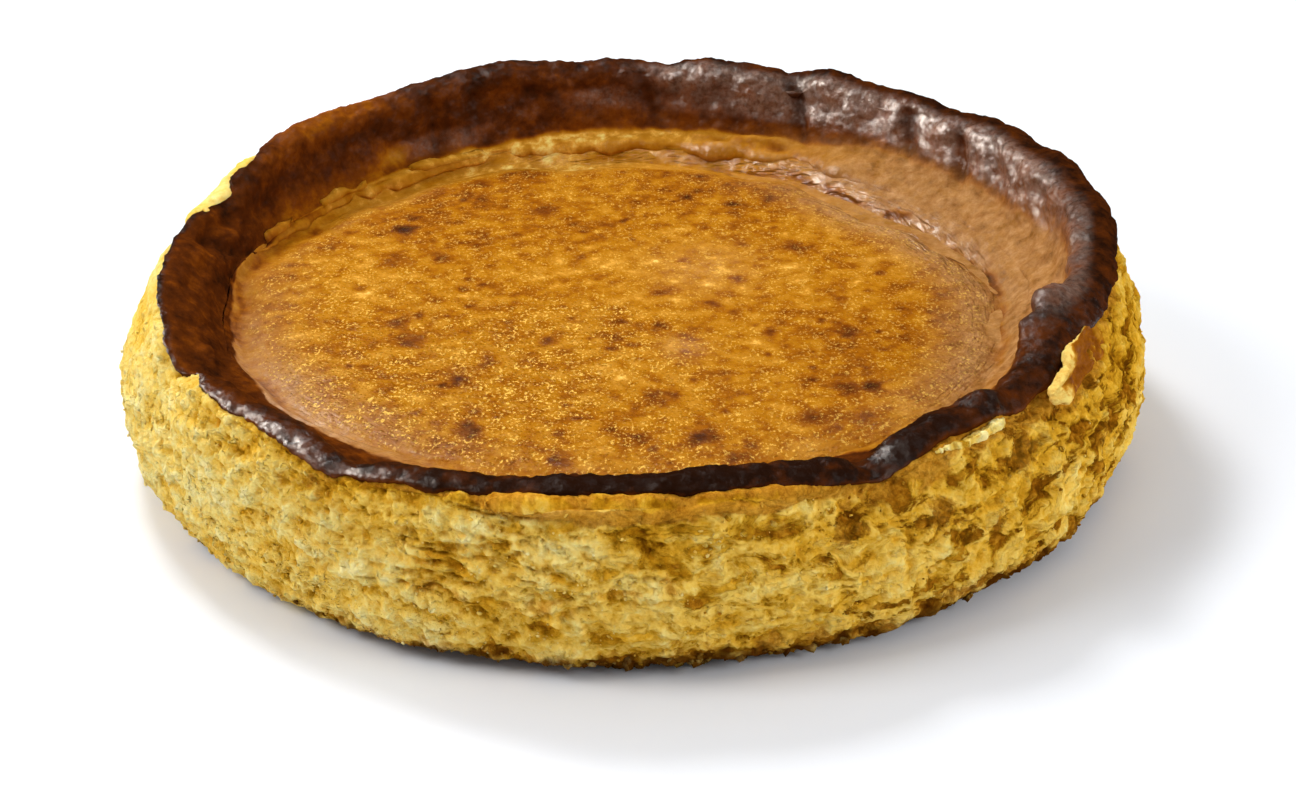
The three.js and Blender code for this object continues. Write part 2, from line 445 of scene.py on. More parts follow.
def baked_skin():
    """Skin from pale tan over caramel to almost black, by how long it baked."""
    n = Nodes(bpy.data.materials.new("baked skin"))
    fine = n.noise(0.0024, detail=6, rough=0.72)
    uneven = n.plus(n.times(n.noise(0.016, detail=4), 0.18), n.times(fine, 0.42))
    bake = n.minus(n.plus(n.attribute("bake"), uneven), 0.30)
    colour = n.colours(bake, [
        (0.00, (0.88, 0.66, 0.180)),
        (0.10, (0.69, 0.335, 0.042)),
        (0.18, (0.500, 0.213, 0.016)),
        (0.32, (0.410, 0.155, 0.005)),
        (0.46, (0.300, 0.090, 0.003)),
        (0.60, (0.18, 0.043, 0.003)),
        (0.78, (0.080, 0.018, 0.0025)),
        (1.00, (0.016, 0.005, 0.0020)),
    ])
    pale = n.times(n.attribute("pale"), n.range(fine, 0.35, 0.65, 1.0, 0.7))
    colour = n.mix(pale, colour, n.colours(n.noise(0.0045, detail=8, rough=0.74), [
        (0.33, (0.20, 0.084, 0.022)),
        (0.50, (0.385, 0.186, 0.062)),
        (0.67, (0.54, 0.290, 0.115)),
    ]))
    # painted sheen: a dull greyish reflection mixed into the colour, grainy, where the skin is marked
    # for it
    bloom = n.range(n.noise(0.0016, detail=5, rough=0.6), 0.30, 0.70, 0.2, 1.0)
    colour = n.mix(n.times(n.attribute("bloom"), bloom), colour, PAINTED_SHEEN)

    # painted glints: pale golden specks, in patches, standing for the glints of tiny blisters
    glint_zone = n.attribute("sparkle")
    patchy = n.range(n.noise(0.0050, detail=6, rough=0.7), 0.36, 0.58)
    deep = n.add("ShaderNodeMapping")
    deep.inputs["Scale"].default_value = (1.0, PAINTED_GLINT_WIDTH, 1.0)
    n.link(n.place, deep.inputs["Vector"])
    painted_glints = n.noise(0.00078, detail=3, rough=0.65, place=deep.outputs["Vector"])
    painted_glints = n.range(painted_glints, 0.53, 0.64, 0.0, 0.95)
    colour = n.mix(n.times(painted_glints, n.times(patchy, glint_zone)), colour, PAINTED_GLINT)

    # grainy skin, blisters on the top and furrows round it
    blisters = n.range(n.cells(0.0012), 0.05, 0.55, 1.0, 0.0)
    furrows = n.math("ABSOLUTE", n.minus(n.noise(0.0032, detail=3, place=n.places("drawn")), 0.5))
    furrows = n.times(n.range(furrows, 0.0, 0.16), n.attribute("wrinkled"))
    relief = n.bump(n.noise(0.0014, detail=5, rough=0.70), 0.00036)
    relief = n.bump(n.times(blisters, glint_zone), 0.0004, relief)
    relief = n.bump(furrows, 0.0012, relief)

    patches_of_gloss = n.range(n.noise(0.0019, detail=4), 0.42, 0.60, 0.18, 1.0)
    wet = n.times(n.attribute("gloss"), patches_of_gloss)
    return n.finish(
        Base_Color=colour, Normal=relief, Roughness=0.6, Specular_IOR_Level=0.0,
        Coat_Weight=wet, Coat_Normal=relief, Coat_Roughness=0.14)


def crumb():
    """Moist yellow crumb with pits, toasted skin left on it and brown smears."""
    n = Nodes(bpy.data.materials.new("crumb"))
    # the crumb's tone, stored under the name relief: it follows the relief, with painted light on raised
    # crumb and painted shade in hollows
    relief = n.attribute("relief")
    curdy = n.attribute("curdy")
    drawn = n.places("drawn")
    fine = n.noise(0.0014, detail=5, rough=0.7)

    # torn patches: large and crisp where the crumb is layered, small and soft where it is curdy
    large = n.noise(0.0054, detail=7, rough=0.60, distortion=0.5, place=drawn)
    small = n.noise(0.0040, detail=4, rough=0.55, distortion=0.4, place=drawn)
    torn = n.between(curdy, large, small)
    whole = n.between(curdy, n.range(torn, 0.39, 0.51), n.range(torn, 0.34, 0.58))
    whole = n.math("MAXIMUM", whole, n.attribute("smooth"))
    raised = n.range(torn, 0.54, 0.63)
    holes = n.range(n.noise(0.0024, detail=2.5, rough=0.5), 0.33, 0.43, 1.0, 0.0)
    holes = n.times(holes, n.range(curdy, 0.2, 1.0, 0.0, 0.6))

    # from pits to cream: the tone follows the relief, with painted shade in holes and torn hollows and
    # painted light on raised crumb, besides the crumb's own cream and olive
    tone = n.plus(relief, n.times(n.minus(fine, 0.5), n.range(curdy, 0.0, 1.0, 0.6, 0.85)))
    tone = n.minus(tone, n.times(holes, 0.24))
    step = n.plus(n.minus(n.times(whole, 0.30), 0.22), n.times(raised, 0.10))
    tone = n.plus(tone, n.times(step, n.range(curdy, 0.0, 1.0, 1.0, 0.5)))
    colour = n.colours(tone, [
        (0.00, (0.27, 0.094, 0.002)),
        (0.22, (0.53, 0.240, 0.008)),
        (0.42, (0.79, 0.418, 0.028)),
        (0.66, (0.94, 0.615, 0.112)),
        (0.90, (0.98, 0.765, 0.25)),
        (1.00, (1.00, 0.83, 0.35)),
    ])

    # toasted skin
    toast = n.swing(n.noise(0.0055, detail=5, distortion=0.8), 1.8)
    toast = n.range(n.plus(n.attribute("toast"), toast), 0.30, 0.75)
    colour = n.mix(n.times(toast, 0.85), colour, n.colours(fine, [
        (0.35, (0.38, 0.13, 0.006)),
        (0.65, (0.70, 0.33, 0.030)),
    ]))

    # brown smears, most of them in the hollows
    smear = n.swing(n.noise(0.007, detail=7, rough=0.72, distortion=0.8), 2.4)
    smear = n.minus(smear, n.swing(whole, 0.7))
    smear = n.range(n.plus(n.attribute("brown"), smear), 0.30, 0.72)
    shade = n.plus(n.swing(n.noise(0.0026, detail=5, rough=0.65), 1.8), 0.45)
    shade = n.plus(shade, n.times(relief, 0.3))
    colour = n.mix(n.times(smear, 0.88), colour, n.colours(shade, [
        (0.40, (0.13, 0.042, 0.002)),
        (0.62, (0.31, 0.105, 0.004)),
        (0.85, (0.54, 0.245, 0.016)),
    ]))
    colour = n.mix(n.attribute("burnt"), colour, CHARRED)

    grain = n.times(n.noise(0.0020, detail=5, rough=0.70), n.range(curdy, 0.0, 1.0, 0.65, 1.0))
    bump = n.bump(grain, 0.0009)
    bump = n.bump(n.plus(whole, n.times(raised, 0.6)), 0.0007, bump)
    bump = n.bump(n.minus(n.times(fine, 0.5), holes), 0.0007, bump)
    return n.finish(
        Base_Color=colour, Normal=bump, Roughness=0.5, Specular_IOR_Level=0.0, Subsurface_Weight=0.08,
        Subsurface_Radius=(0.0022, 0.0011, 0.0003), Subsurface_Scale=1.0)


# Settings

class CakeSettings(bpy.types.PropertyGroup):
    """Sizes of the cake's surface."""

    skin_thickness: FloatProperty(
        name="Skin thickness", description="Thickness of the burnt skin at its torn edge",
        default=1.4 * MM, unit="LENGTH")
    crumb_depth: FloatProperty(
        name="Crumb depth", description="Height of the crumb's relief on the wall",
        default=1.4 * MM, unit="LENGTH")
    crumbs: IntProperty(
        name="Crumbs", description="Number of loose crumbs on the side", default=1400)
    flakes: IntProperty(
        name="Flakes", description="Number of thin flakes on the side", default=140)
    chips: IntProperty(
        name="Chips", description="Number of burnt chips round the base, besides the clusters",
        default=220)
    seed: IntProperty(name="Seed", description="Start of every random draw", default=7)


def light_power(name, where, default):
    """Setting for the power of a light."""
    return FloatProperty(
        name=name, description=f"Power of the light {where}", default=default, unit="POWER")


class StageSettings(bpy.types.PropertyGroup):
    """Camera, lights and floor."""

    lens: FloatProperty(
        name="Lens", description="Focal length on a 36 mm sensor", default=65.0, subtype="UNSIGNED")
    elevation: FloatProperty(
        name="Elevation", description="How far the camera looks down",
        default=math.radians(26.53), subtype="ANGLE")
    roll: FloatProperty(
        name="Roll", description="Tilt of the camera about its line of sight",
        default=math.radians(-0.38), subtype="ANGLE")
    distance: FloatProperty(
        name="Distance", description="From the camera to the point that it looks at",
        default=612.13 * MM, unit="LENGTH")
    target: FloatVectorProperty(
        name="Target", description="Point that the camera looks at",
        default=(4.72 * MM, 0.0, 6.23 * MM), subtype="TRANSLATION")
    key_power: light_power("Key light", "behind the cake's left", 9.8)
    left_power: light_power("Left light", "at the left", 10.0)
    fill_power: light_power("Fill light", "at the front right", 8.1)
    sheen_power: light_power("Sheen light", "at the left that only gloss mirrors", 82.0)
    glint_power: light_power("Glint light", "that glints on the rim's back", 7.0)
    room_dark: FloatProperty(
        name="Room, dark side", description="Strength of the room's light from the front", default=0.27)
    room_light: FloatProperty(
        name="Room, bright side", description="Strength of the room's light from the back right",
        default=0.72)
    mirrored: FloatProperty(
        name="Room in reflections", description="Share of the room's light that gloss mirrors",
        default=0.3, subtype="FACTOR", min=0.0, max=1.0)
    floor_colour: FloatVectorProperty(
        name="Floor colour", description="Colour of the floor", default=(0.77, 0.80, 0.85),
        subtype="COLOR", min=0.0, max=1.0)


# Operators

FLOOR_SIZE = 6.0  # m
SENSOR = 36.0  # mm
LIT_POINT = Vector((0, 0, 0.03))  # in the middle of the cake, where the lights point
ROOM_BRIGHT = Vector((0.65, 0.50, 0.60))  # direction of the room's brightest side
WHITE = (1.0, 1.0, 1.0)
WARM = (1.0, 0.91, 0.82)
# Name, place, width and height in metres, and the setting that holds its power
LIGHTS = [
    ("key light", (-0.38, 0.65, 1.03), (0.30, 0.30), "key_power"),
    ("left light", (-1.00, -0.25, 1.00), (0.6, 0.6), "left_power"),
    ("fill light", (1.20, -0.55, 0.70), (0.6, 0.6), "fill_power"),
]
# Lights that only gloss mirrors, in the same form
GLOSS_LIGHTS = [
    ("sheen light", (-1.05, 0.22, 0.52), (1.1, 0.5), "sheen_power"),
    ("glint light", (-0.25, -0.40, 0.95), (0.35, 0.35), "glint_power"),
]


def area_light(name, place, size, power, colour, only_gloss):
    """A soft light that looks at the cake."""
    data = bpy.data.lights.new(name, "AREA")
    data.shape = "RECTANGLE"
    data.size, data.size_y = size
    data.energy = power
    data.color = colour
    light = bpy.data.objects.new(name, data)
    light.location = place
    light.visible_diffuse = not only_gloss
    light.rotation_euler = (LIT_POINT - Vector(place)).to_track_quat("-Z", "Y").to_euler()
    bpy.context.scene.collection.objects.link(light)


def soft_room(settings):
    """A room that is brightest above the back right, and darker in reflections."""
    n = Nodes(bpy.data.worlds.new("soft room"), "Background")
    facing = n.add("ShaderNodeVectorMath", operation="DOT_PRODUCT")
    n.link(n.coordinates["Generated"], facing.inputs[0])
    n.link(ROOM_BRIGHT.normalized(), facing.inputs[1])
    strength = n.range(
        facing.outputs["Value"], -0.2, 1.0, settings.room_dark, settings.room_light, kind="LINEAR")
    mirrored = n.add("ShaderNodeLightPath").outputs["Is Glossy Ray"]
    share = n.range(mirrored, 0.0, 1.0, 1.0, settings.mirrored, kind="LINEAR")
    return n.finish(Color=(1, 1, 1, 1), Strength=n.times(strength, share))


class CAKE_OT_stage(bpy.types.Operator):
    """Adds the floor, the soft lights and the camera"""

    bl_idname = "cake.stage"
    bl_label = "Stage"

    def execute(self, context):
        settings = context.scene.cake_stage
        bpy.ops.object.select_all(action="DESELECT")
        bpy.ops.mesh.primitive_plane_add(size=FLOOR_SIZE)
        floor = context.object
        floor.name = "floor"
        material = bpy.data.materials.new("floor")
        material.use_nodes = True
        shader = material.node_tree.nodes["Principled BSDF"].inputs
        shader["Base Color"].default_value = (*settings.floor_colour, 1)
        shader["Roughness"].default_value = 0.9
        floor.data.materials.append(material)

        context.scene.world = soft_room(settings)
        for lights, colour, only_gloss in ((LIGHTS, WHITE, False), (GLOSS_LIGHTS, WARM, True)):
            for name, place, size, power in lights:
                area_light(name, place, size, getattr(settings, power), colour, only_gloss)
        context.scene.view_settings.view_transform = "Standard"

        data = bpy.data.cameras.new("camera")
        data.lens = settings.lens
        data.sensor_width = SENSOR
        camera = bpy.data.objects.new("camera", data)
        context.scene.collection.objects.link(camera)
        back = Vector((0, -math.cos(settings.elevation), math.sin(settings.elevation)))
        turn = (-back).to_track_quat("-Z", "Y").to_matrix()
        turn = turn @ Matrix.Rotation(settings.roll, 3, "Z")
        place = Vector(settings.target) + settings.distance * back
        camera.matrix_world = Matrix.LocRotScale(place, turn, None)
        context.scene.camera = camera
        return {"FINISHED"}


# Ring station of the skin's torn outer edge, at sixteen points from the right round by the back
EDGE_STATION = [
    13.3, 13.2, 13.0, 13.0, 13.0, 13.0, 13.8, 15.0,
    13.2, 14.8, 14.6, 14.4, 14.5, 13.9, 14.1, 13.1,
]
TORN_PATCH = (162, 8)  # middle and width of the stretch where the rim's outside is torn away
# Station where the dark skin inside the rim gives way to tan, and how gradually, at the same points
TAN_STATION = [
    19.4, 21.2, 21.3, 22.3, 21.6, 22.1, 22.9, 24.0,
    25.4, 25.2, 23.6, 23.4, 24.6, 23.4, 20.6, 19.4,
]
TAN_SOFT = [
    0.8, 0.7, 0.6, 0.5, 0.45, 0.4, 0.3, 0.2,
    0.15, 0.2, 0.4, 0.4, 0.3, 0.4, 0.4, 0.6,
]
PANEL = (187, 26)  # middle and width of the flat panel of skin at the left
PANEL_FOOT = 20.5  # station down to which it is flat
FRONT = (285, 60)  # middle and width of the stretch where the skin's edge is browned, not black
LIGHTENED_BACK = (105, 48)  # middle and width of the ledge at the back of the top, painted lighter: its own light tan, and painted light that makes up for the rim's shade
# Places where the skin's edge hangs lower or is torn higher: angle, width in degrees, stations up
EDGE_STEPS = [(*TORN_PATCH, 1.2), (205.5, 2.6, -1.3), (211.5, 2.0, 1.1)]


def skin_edge(angle):
    """Station of the skin's outer edge, ragged and torn away at one patch."""
    ragged = lumps(round_points(angle, angle * 0, 1), 7, 4, seed=61)
    edge = around(EDGE_STATION, angle) + (0.32 + 0.9 * bell(angle, TORN_PATCH[0], 14)) * ragged
    return edge + sum(up * bell(angle, middle, width) for middle, width, up in EDGE_STEPS)


def lay_panel(angle, station, edge, radius, height):
    """Flattens the rim at the left, where a panel of skin slopes straight in from a thin edge."""
    share = np.clip((station - edge) / (PANEL_FOOT - edge), 0, 1)
    start_radius = on_cake(angle, edge)[0] - 0.4
    start_height = on_cake(angle, angle * 0 + CREST)[1] - 0.6
    foot_radius, foot_height = on_cake(angle, angle * 0 + PANEL_FOOT)
    flat = 0.75 * plateau(angle, *PANEL, high=0.6) * (station >= edge) * (station < PANEL_FOOT)
    radius = radius + flat * (start_radius + (foot_radius - start_radius) * share - radius)
    return radius, height + flat * (start_height + (foot_height - start_height) * share - height)


# Folds down the rim's inside: angle, width and depth in mm
FOLDS = [
    (27.0, 1.6, 0.3), (34.5, 1.2, 1.2), (45.0, 1.3, 1.2), (64.5, 1.2, 1.2), (76.0, 2.2, 0.3),
    (87.5, 1.1, 1.4), (104.0, 2.0, 0.6), (114.0, 1.5, 0.6), (121.5, 1.6, 1.0), (129.0, 1.6, 0.6),
    (170.5, 1.6, 1.4), (176.5, 2.4, -1.0),
]
# Hollows in the rim: angle, station, width in degrees, depth; bulges have a negative depth
HOLLOWS = [
    (94, 19.4, 4.5, 1.8), (120, 20.9, 4.0, 1.4), (55, 19.2, 4.0, -1.0), (40, 19.2, 3.5, -1.0),
    (71, 19.0, 4.0, -0.8), (30, 19.0, 3.0, -0.6), (335.5, 17.6, 5.0, -4.6), (332.5, 18.4, 1.5, 4.2),
    (167, 18.4, 3.0, 1.2), (233, 16.0, 7.0, -0.8), (241, 16.5, 1.6, 1.0), (295.5, 16.5, 1.1, 1.0),
    (298.5, 16.3, 2.0, -0.6), (310, 16.5, 1.2, 0.9), (313.5, 16.3, 2.2, -0.7), (323, 16.5, 1.5, 0.7),
]
# Creases round the sunken top, and rolls of skin beside them: angle, width in degrees, station, depth
CREASES = [
    (146, 26, 23.9, 1.0), (70, 9, 23.5, 1.0), (88, 14, 24.4, 0.9), (190, 40, 25.8, 1.0),
    (30, 24, 26.2, 2.0), (48, 16, 25.3, 1.8), (100, 14, 25.4, 1.0), (5, 14, 26.0, 1.6),
    (155, 16, 26.1, 1.0), (345, 10, 25.9, 0.9), (118, 12, 26.0, 0.9), (75, 16, 25.9, 1.0),
]
ROLLS = [
    (146, 24, 25.0, 1.0), (192, 26, 26.5, 0.7), (86, 18, 25.2, 1.0), (72, 9, 22.9, 0.8),
    (95, 8, 23.4, 1.0), (25, 28, 25.2, 0.5), (108, 12, 24.6, 0.8),
]


def folds_at(angle, station):
    """Depth of the folds down the rim's inside, in mm."""
    lean = angle + 0.8 * (station - 19)
    folds = sum(depth * bell(lean, fold, width) for fold, width, depth in FOLDS)
    return band(station, 16.8, 18.2, 21.5, 23.2) * folds


def creases_at(angle, station, lines, thick):
    """Depth of the creases or height of the rolls round the sunken top, in mm."""
    found = 0
    for middle, width, ring, depth in lines:
        wander = 0.4 * lumps(round_points(angle, angle * 0, 1), 9, 4, seed=ring)
        line = hill(station, ring + wander, thick)
        broken = ramp(lumps(round_points(angle, angle * 0, 1), 14, 2, seed=ring + 50), -0.35, 0.1)
        found = found + depth * plateau(angle, middle, width, high=0.7) * line * broken
    return found


# Soft pillows of skin between the rim and the top, at the back, in the same form
PILLOWS = [(112, 26, 24.2, 2.2), (78, 15, 24.5, 2.0), (146, 20, 24.7, 1.7), (60, 16, 24.0, 1.2)]


def wrinkles_at(angle, station, radius):
    """Rounded wrinkles that run round the top's edge with sharp creases between, about -1 to 1."""
    middle = 26.2 - 1.4 * bell(angle, 78, 32)
    strength = 0.3 + plateau(angle, 42, 66, low=0.1) + 0.8 * bell(angle, 215, 28)
    ridges = np.abs(lumps(round_points(angle, radius, 3.5), 9, 4, seed=31))
    return hill(station, middle, 1.2) * strength * (3.2 * ridges - 0.7)


def skin_relief(angle, station, points):
    """How far the skin stands out, in mm: knobbly crest, folds inside, wrinkles and the top's waves."""
    radius = np.hypot(points[:, 0], points[:, 1]) / MM
    past_edge = station - skin_edge(angle)
    # knobs and grains on the crest, less on the flat panel and the smooth roll at the front right
    crest = ramp(station, 20, 17) * (1 - 0.7 * plateau(angle, *PANEL, high=0.6))
    crest = crest * (1 - 0.4 * bell(angle, 310, 20))
    relief = crest * (0.9 * lumps(points, 9, 4, 3, 0.8) + 0.30 * lumps(points, 2.8, 3, 4, 0.7))
    grainy_front = bell(angle, 268, 26) * ramp(station, 18.5, 16.5)
    relief = relief + 0.35 * grainy_front * lumps(points, 2.2, 2, 8, 0.7)
    # beads along the edge at the front left
    beads = bell(angle, 205, 36) * ramp(past_edge, 1.5, 0.5)
    relief = relief + beads * (0.45 - pits(points, 2.2, seed=9))
    # folds, knobs and pebbles inside the rim
    for middle, ring, width, depth in HOLLOWS:
        relief = relief - depth * bell(angle, middle, width) * hill(station, ring, 1.0)
    inside = band(station, 16.5, 18, 21.5, 23.4)
    pebbles = (0.22 + 0.25 * bell(angle, 115, 32)) * lumps(points, 3, 3, 14, 0.7)
    relief = relief + inside * (lumps(points, 9, 4, 13, 0.8) + pebbles) - folds_at(angle, station)
    # creases, rolls, pillows and wrinkles round the top
    relief = relief - creases_at(angle, station, CREASES, 0.3)
    relief = relief + 1.8 * creases_at(angle, station, ROLLS, 0.6)
    relief = relief + creases_at(angle, station, PILLOWS, 0.9)
    relief = relief + 2.2 * wrinkles_at(angle, station, radius)
    relief = relief + 0.45 * band(station, 22, 23, 26.5, 27.5) * lumps(points, 6, 5, 43, 0.6)
    # low waves on the top
    waves = 0.35 * lumps(points, 20, 3, seed=41) + 0.16 * lumps(points, 4, 3, seed=47)
    return relief + ramp(station, 25.6, 26.6) * waves


class SkinZones:
    """Values over the skin that its colours and its gloss share, called z below."""

    def __init__(self, angle, station, points):
        self.angle = angle
        self.station = station
        self.points = points
        self.x = points[:, 0] / MM
        self.y = points[:, 1] / MM
        self.radius = np.hypot(self.x, self.y)
        self.past_edge = station - skin_edge(angle)
        self.folds = folds_at(angle, station)
        self.creases = creases_at(angle, station, CREASES, 0.35)
        self.wrinkle = wrinkles_at(angle, station, self.radius)
        self.tan_from = around(TAN_STATION, angle) + 0.45 * lumps(points, 9, 3, seed=71)
        self.soft = around(TAN_SOFT, angle)
        self.tan = ramp(station, self.tan_from - self.soft, self.tan_from + 0.8 * self.soft)
        self.near_crease = ramp(station, 27.8, 26.8) * self.tan
        self.back = bell(angle, *LIGHTENED_BACK)


def rim_bake(z):
    """How dark the rim is baked."""
    panel = plateau(z.angle, *PANEL, high=0.6)
    front = plateau(z.angle, *FRONT, high=0.6)
    bake = 0.79 + 0.14 * lumps(z.points, 6, 4, 66, 0.7) + 0.06 * z.folds
    # darkest along the crest, at the front and on the panel's edge
    bake = bake + 0.13 * ramp(z.station, 18.5, 16.4) * (1 - panel) + 0.14 * bell(z.angle, 272, 26)
    bake = bake + 0.16 * panel * ramp(z.past_edge, 1.4, 0.6)
    # browned along the torn edge at the front, and redder at the front left
    bake = bake - 0.16 * front * ramp(z.past_edge, 0.6, 0.1)
    bake = bake - 0.10 * bell(z.angle, 222, 24) * ramp(z.past_edge, 2.5, 1.0)
    # lighter towards the tan skin, where that starts gradually, and at the back left
    bake = bake - 0.11 * ramp(z.station, z.tan_from - 3.2, z.tan_from - 0.6) * ramp(z.soft, 0.15, 0.5)
    bake = bake - 0.24 * bell(z.angle, 143, 20) * ramp(z.station, z.tan_from - 3.5, z.tan_from - 0.2)
    # a glowing crest at the back left, a painted glow of thin skin lit from behind; a light spot at the
    # back left, and a brown line inside the front
    bake = bake - 0.40 * bell(z.angle, 138, 12) * ramp(z.station, 19.5, 16.8)
    bake = bake - 0.45 * bell(z.angle, 128, 3.2) * hill(z.station, 21, 0.8)
    return bake - 0.18 * bell(z.angle, 268, 24) * hill(z.station, 17.8, 0.7)


def top_bake(z, spot):
    """How dark the sunken top and the ledge round it are baked, with the burnt spots' darkness."""
    amber = hill(z.x, 55, 30) * hill(z.y, -15, 38)
    gold = hill(z.x, 5, 26) * hill(z.y, 15, 30)
    bake = 0.34 + 0.06 * amber - 0.08 * gold + 0.07 * ramp(z.y, 20, 70) + 0.05 * ramp(z.radius, 60, 95)
    bake = bake + 0.10 * lumps(z.points, 24, 4, seed=59) + 0.22 * lumps(z.points, 4.5, 4, seed=60)
    # the ledge round the top is pulled to one tan; at the back it is lighter, partly its own light tan
    # and partly painted light against the rim's shade
    ledge = (0.5 + 0.4 * z.back) * ramp(z.station, 27.2, 26.2)
    bake = bake + ledge * (0.33 - 0.26 * z.back - bake) + 0.42 * spot
    return bake + 0.12 * ramp(z.station, 27.0, 26.0) * lumps(z.points, 3.5, 4, 65, 0.7)


def skin_pale(z, strip):
    """How pale the tan skin is: most at the right, and on a strip at the left; the wrinkles' ridges are
    paler as painted highlight and the creases darker as painted shade.
    """
    right = plateau(z.angle, 10, 60, low=0.25)
    left = plateau(z.angle, 205, 48, low=0.25)
    pale = 0.95 * right + 0.18 * left + 0.10 * (1 - z.back) + 0.3 * z.wrinkle
    pale = z.near_crease * np.clip(pale, 0, 1) + 0.42 * strip
    pale = pale + 0.4 * z.tan * bell(z.angle, 228, 20) * ramp(z.station, 26.4, 25.2)
    pale = pale * (1 - 0.8 * np.clip(z.creases, 0, 1))
    return np.maximum(pale, 0.5 * right * hill(z.station, z.tan_from, 0.9))


# Satin gleams on the rim, as real gloss and as painted sheen: angle, width in degrees, stations of its
# start, full, fade and end, strength
GLEAMS = [
    (82, 6, (16.2, 17, 18, 19.2), 0.7), (95, 5, (18.6, 19.1, 19.6, 20.2), 0.4),
    (120, 6, (20, 20.5, 21.3, 21.9), 0.4), (352, 12, (16.2, 17, 18.4, 19.2), 0.5),
    (337, 5, (15.8, 16.6, 18, 19), 0.45),
]
# Glossy places on the rim: angle, width in degrees, stations where it starts and is full, strength
GLOSSY = [
    (234, 8, 18.5, 17.0, 0.4), (298.3, 1.8, 18.6, 17.2, 0.6), (313.3, 2.0, 18.6, 17.2, 0.6),
    (334, 5, 18.6, 17.2, 0.42), (112, 34, 22.5, 20.0, 0.21),
]


def rim_sheen(z):
    """Satin sheen on the rim's inside at the right, and gleams, as real gloss and as painted sheen
    colour; dull in the folds.
    """
    sheen = plateau(z.angle, 42, 38, 0.15, 0.7) * band(z.station, 16.6, 18, 19.6, 20.8)
    for middle, width, stations, strength in GLEAMS:
        sheen = sheen + strength * bell(z.angle, middle, width) * band(z.station, *stations)
    return sheen * (1 - 0.8 * np.clip(z.folds, 0, 1))


def skin_gloss(z, sheen, wet_band, glint_zone, spot):
    """How wet the skin looks; dull in the creases."""
    gloss = 0.02 + sheen + 0.9 * wet_band + 0.15 * glint_zone + 0.3 * spot
    gloss = gloss + 0.5 * plateau(z.angle, 210, 34, 0.1, 0.6) * ramp(z.past_edge, 1.4, 0.7)
    gloss = gloss + 0.15 * plateau(z.angle, 312, 28, 0.1, 0.6) * ramp(z.station, 20, 18)
    front_lip = ramp(z.station, 17.4, 16.4) * ramp(z.past_edge, 0.2, 0.7)
    gloss = gloss + 0.07 * bell(z.angle, 272, 26) * front_lip
    for middle, width, start, full, strength in GLOSSY:
        gloss = gloss + strength * bell(z.angle, middle, width) * ramp(z.station, start, full)
    tan_gloss = 0.45 * np.clip(z.wrinkle, 0, 1) + 0.35 * bell(z.angle, 215, 24) * z.near_crease
    return (gloss + tan_gloss * z.tan) * (1 - 0.6 * np.clip(z.creases, 0, 1))


def skin_paint(piece, angle, station, points, spot):
    """Stores how baked, pale, wrinkled and glossy the skin is, its painted sheen and where its painted
    glints lie.
    """
    z = SkinZones(angle, station, points)
    sheen = rim_sheen(z)
    # a pale strip beside the sunken top at the left, pinkish tan with a painted highlight of paler
    # colour and sheen, and two pale hazy patches on it, painted with the sheen's colour
    strip = z.tan * bell(angle, 212, 20) * ramp(station, 27.5, 26.4)
    haze = 0.20 * hill(z.x, 14, 5) * hill(z.y, -27, 6.5) + 0.12 * hill(z.x, 20, 13) * hill(z.y, 22, 15)
    # lines round the top, wet at the back right, and inside them the zone of blisters with painted
    # glints
    lined = band(station, 23.6, 24.6, 26.8, 27.6)
    wet_band = hill(station, 26.2 - 1.2 * bell(angle, 78, 32), 1.0) * plateau(angle, 58, 45, 0.1, 0.6)
    glint_zone = ramp(station, 26.0, 27.0) * (0.45 + 0.55 * bell(angle, 235, 60))
    rim = rim_bake(z)
    bake = rim + (top_bake(z, spot) - rim) * z.tan
    # the creases are painted darker as painted shade, and the wrinkles' ridges lighter as painted
    # highlight
    paint(piece, "bake", bake + 0.20 * z.creases - 0.06 * z.wrinkle)
    paint(piece, "pale", skin_pale(z, strip))
    paint(piece, "bloom", 0.47 * sheen + 0.22 * strip + haze * ramp(station, 26.5, 27.5))
    paint(piece, "wrinkled", lined * (0.2 + 0.8 * wet_band))
    paint_places(piece, "drawn", round_points(angle, z.radius, 5))
    paint(piece, "gloss", skin_gloss(z, sheen, wet_band, glint_zone, spot))
    paint(piece, "sparkle", glint_zone * (1 - spot))


# Patches on the side: angle, height in mm, half widths in degrees and mm, strength
SMUDGES = [
    (261, 40.2, 2.0, 1.1, 0.9), (269, 40.0, 1.5, 0.9, 0.6), (275, 40.2, 2.4, 1.1, 0.9),
    (283, 39.8, 1.8, 1.0, 0.7),
    (292.5, 31.4, 2.5, 3.0, 0.8), (302.6, 29.8, 2.2, 4.5, 0.9), (315.4, 34.8, 3.2, 3.0, 1.0),
    (310, 23, 2.0, 4.0, 0.5), (307.7, 9.2, 3.5, 2.5, 0.9), (298, 32.7, 2.0, 2.0, 0.5),
    (320.5, 26.3, 3.0, 4.0, 0.6), (330, 27.4, 3.0, 4.0, 0.5), (284, 27.6, 2.0, 2.0, 0.35),
    (276.5, 19, 3.0, 3.0, 0.5), (262.5, 22, 3.0, 3.5, 0.4), (252.6, 10.7, 2.5, 2.5, 0.3),
    (295, 12.7, 4.0, 3.0, 0.4), (340, 24, 4.0, 6.0, 0.5), (20, 26, 8.0, 8.0, 0.4),
    (60, 20, 9.0, 8.0, 0.4),
]
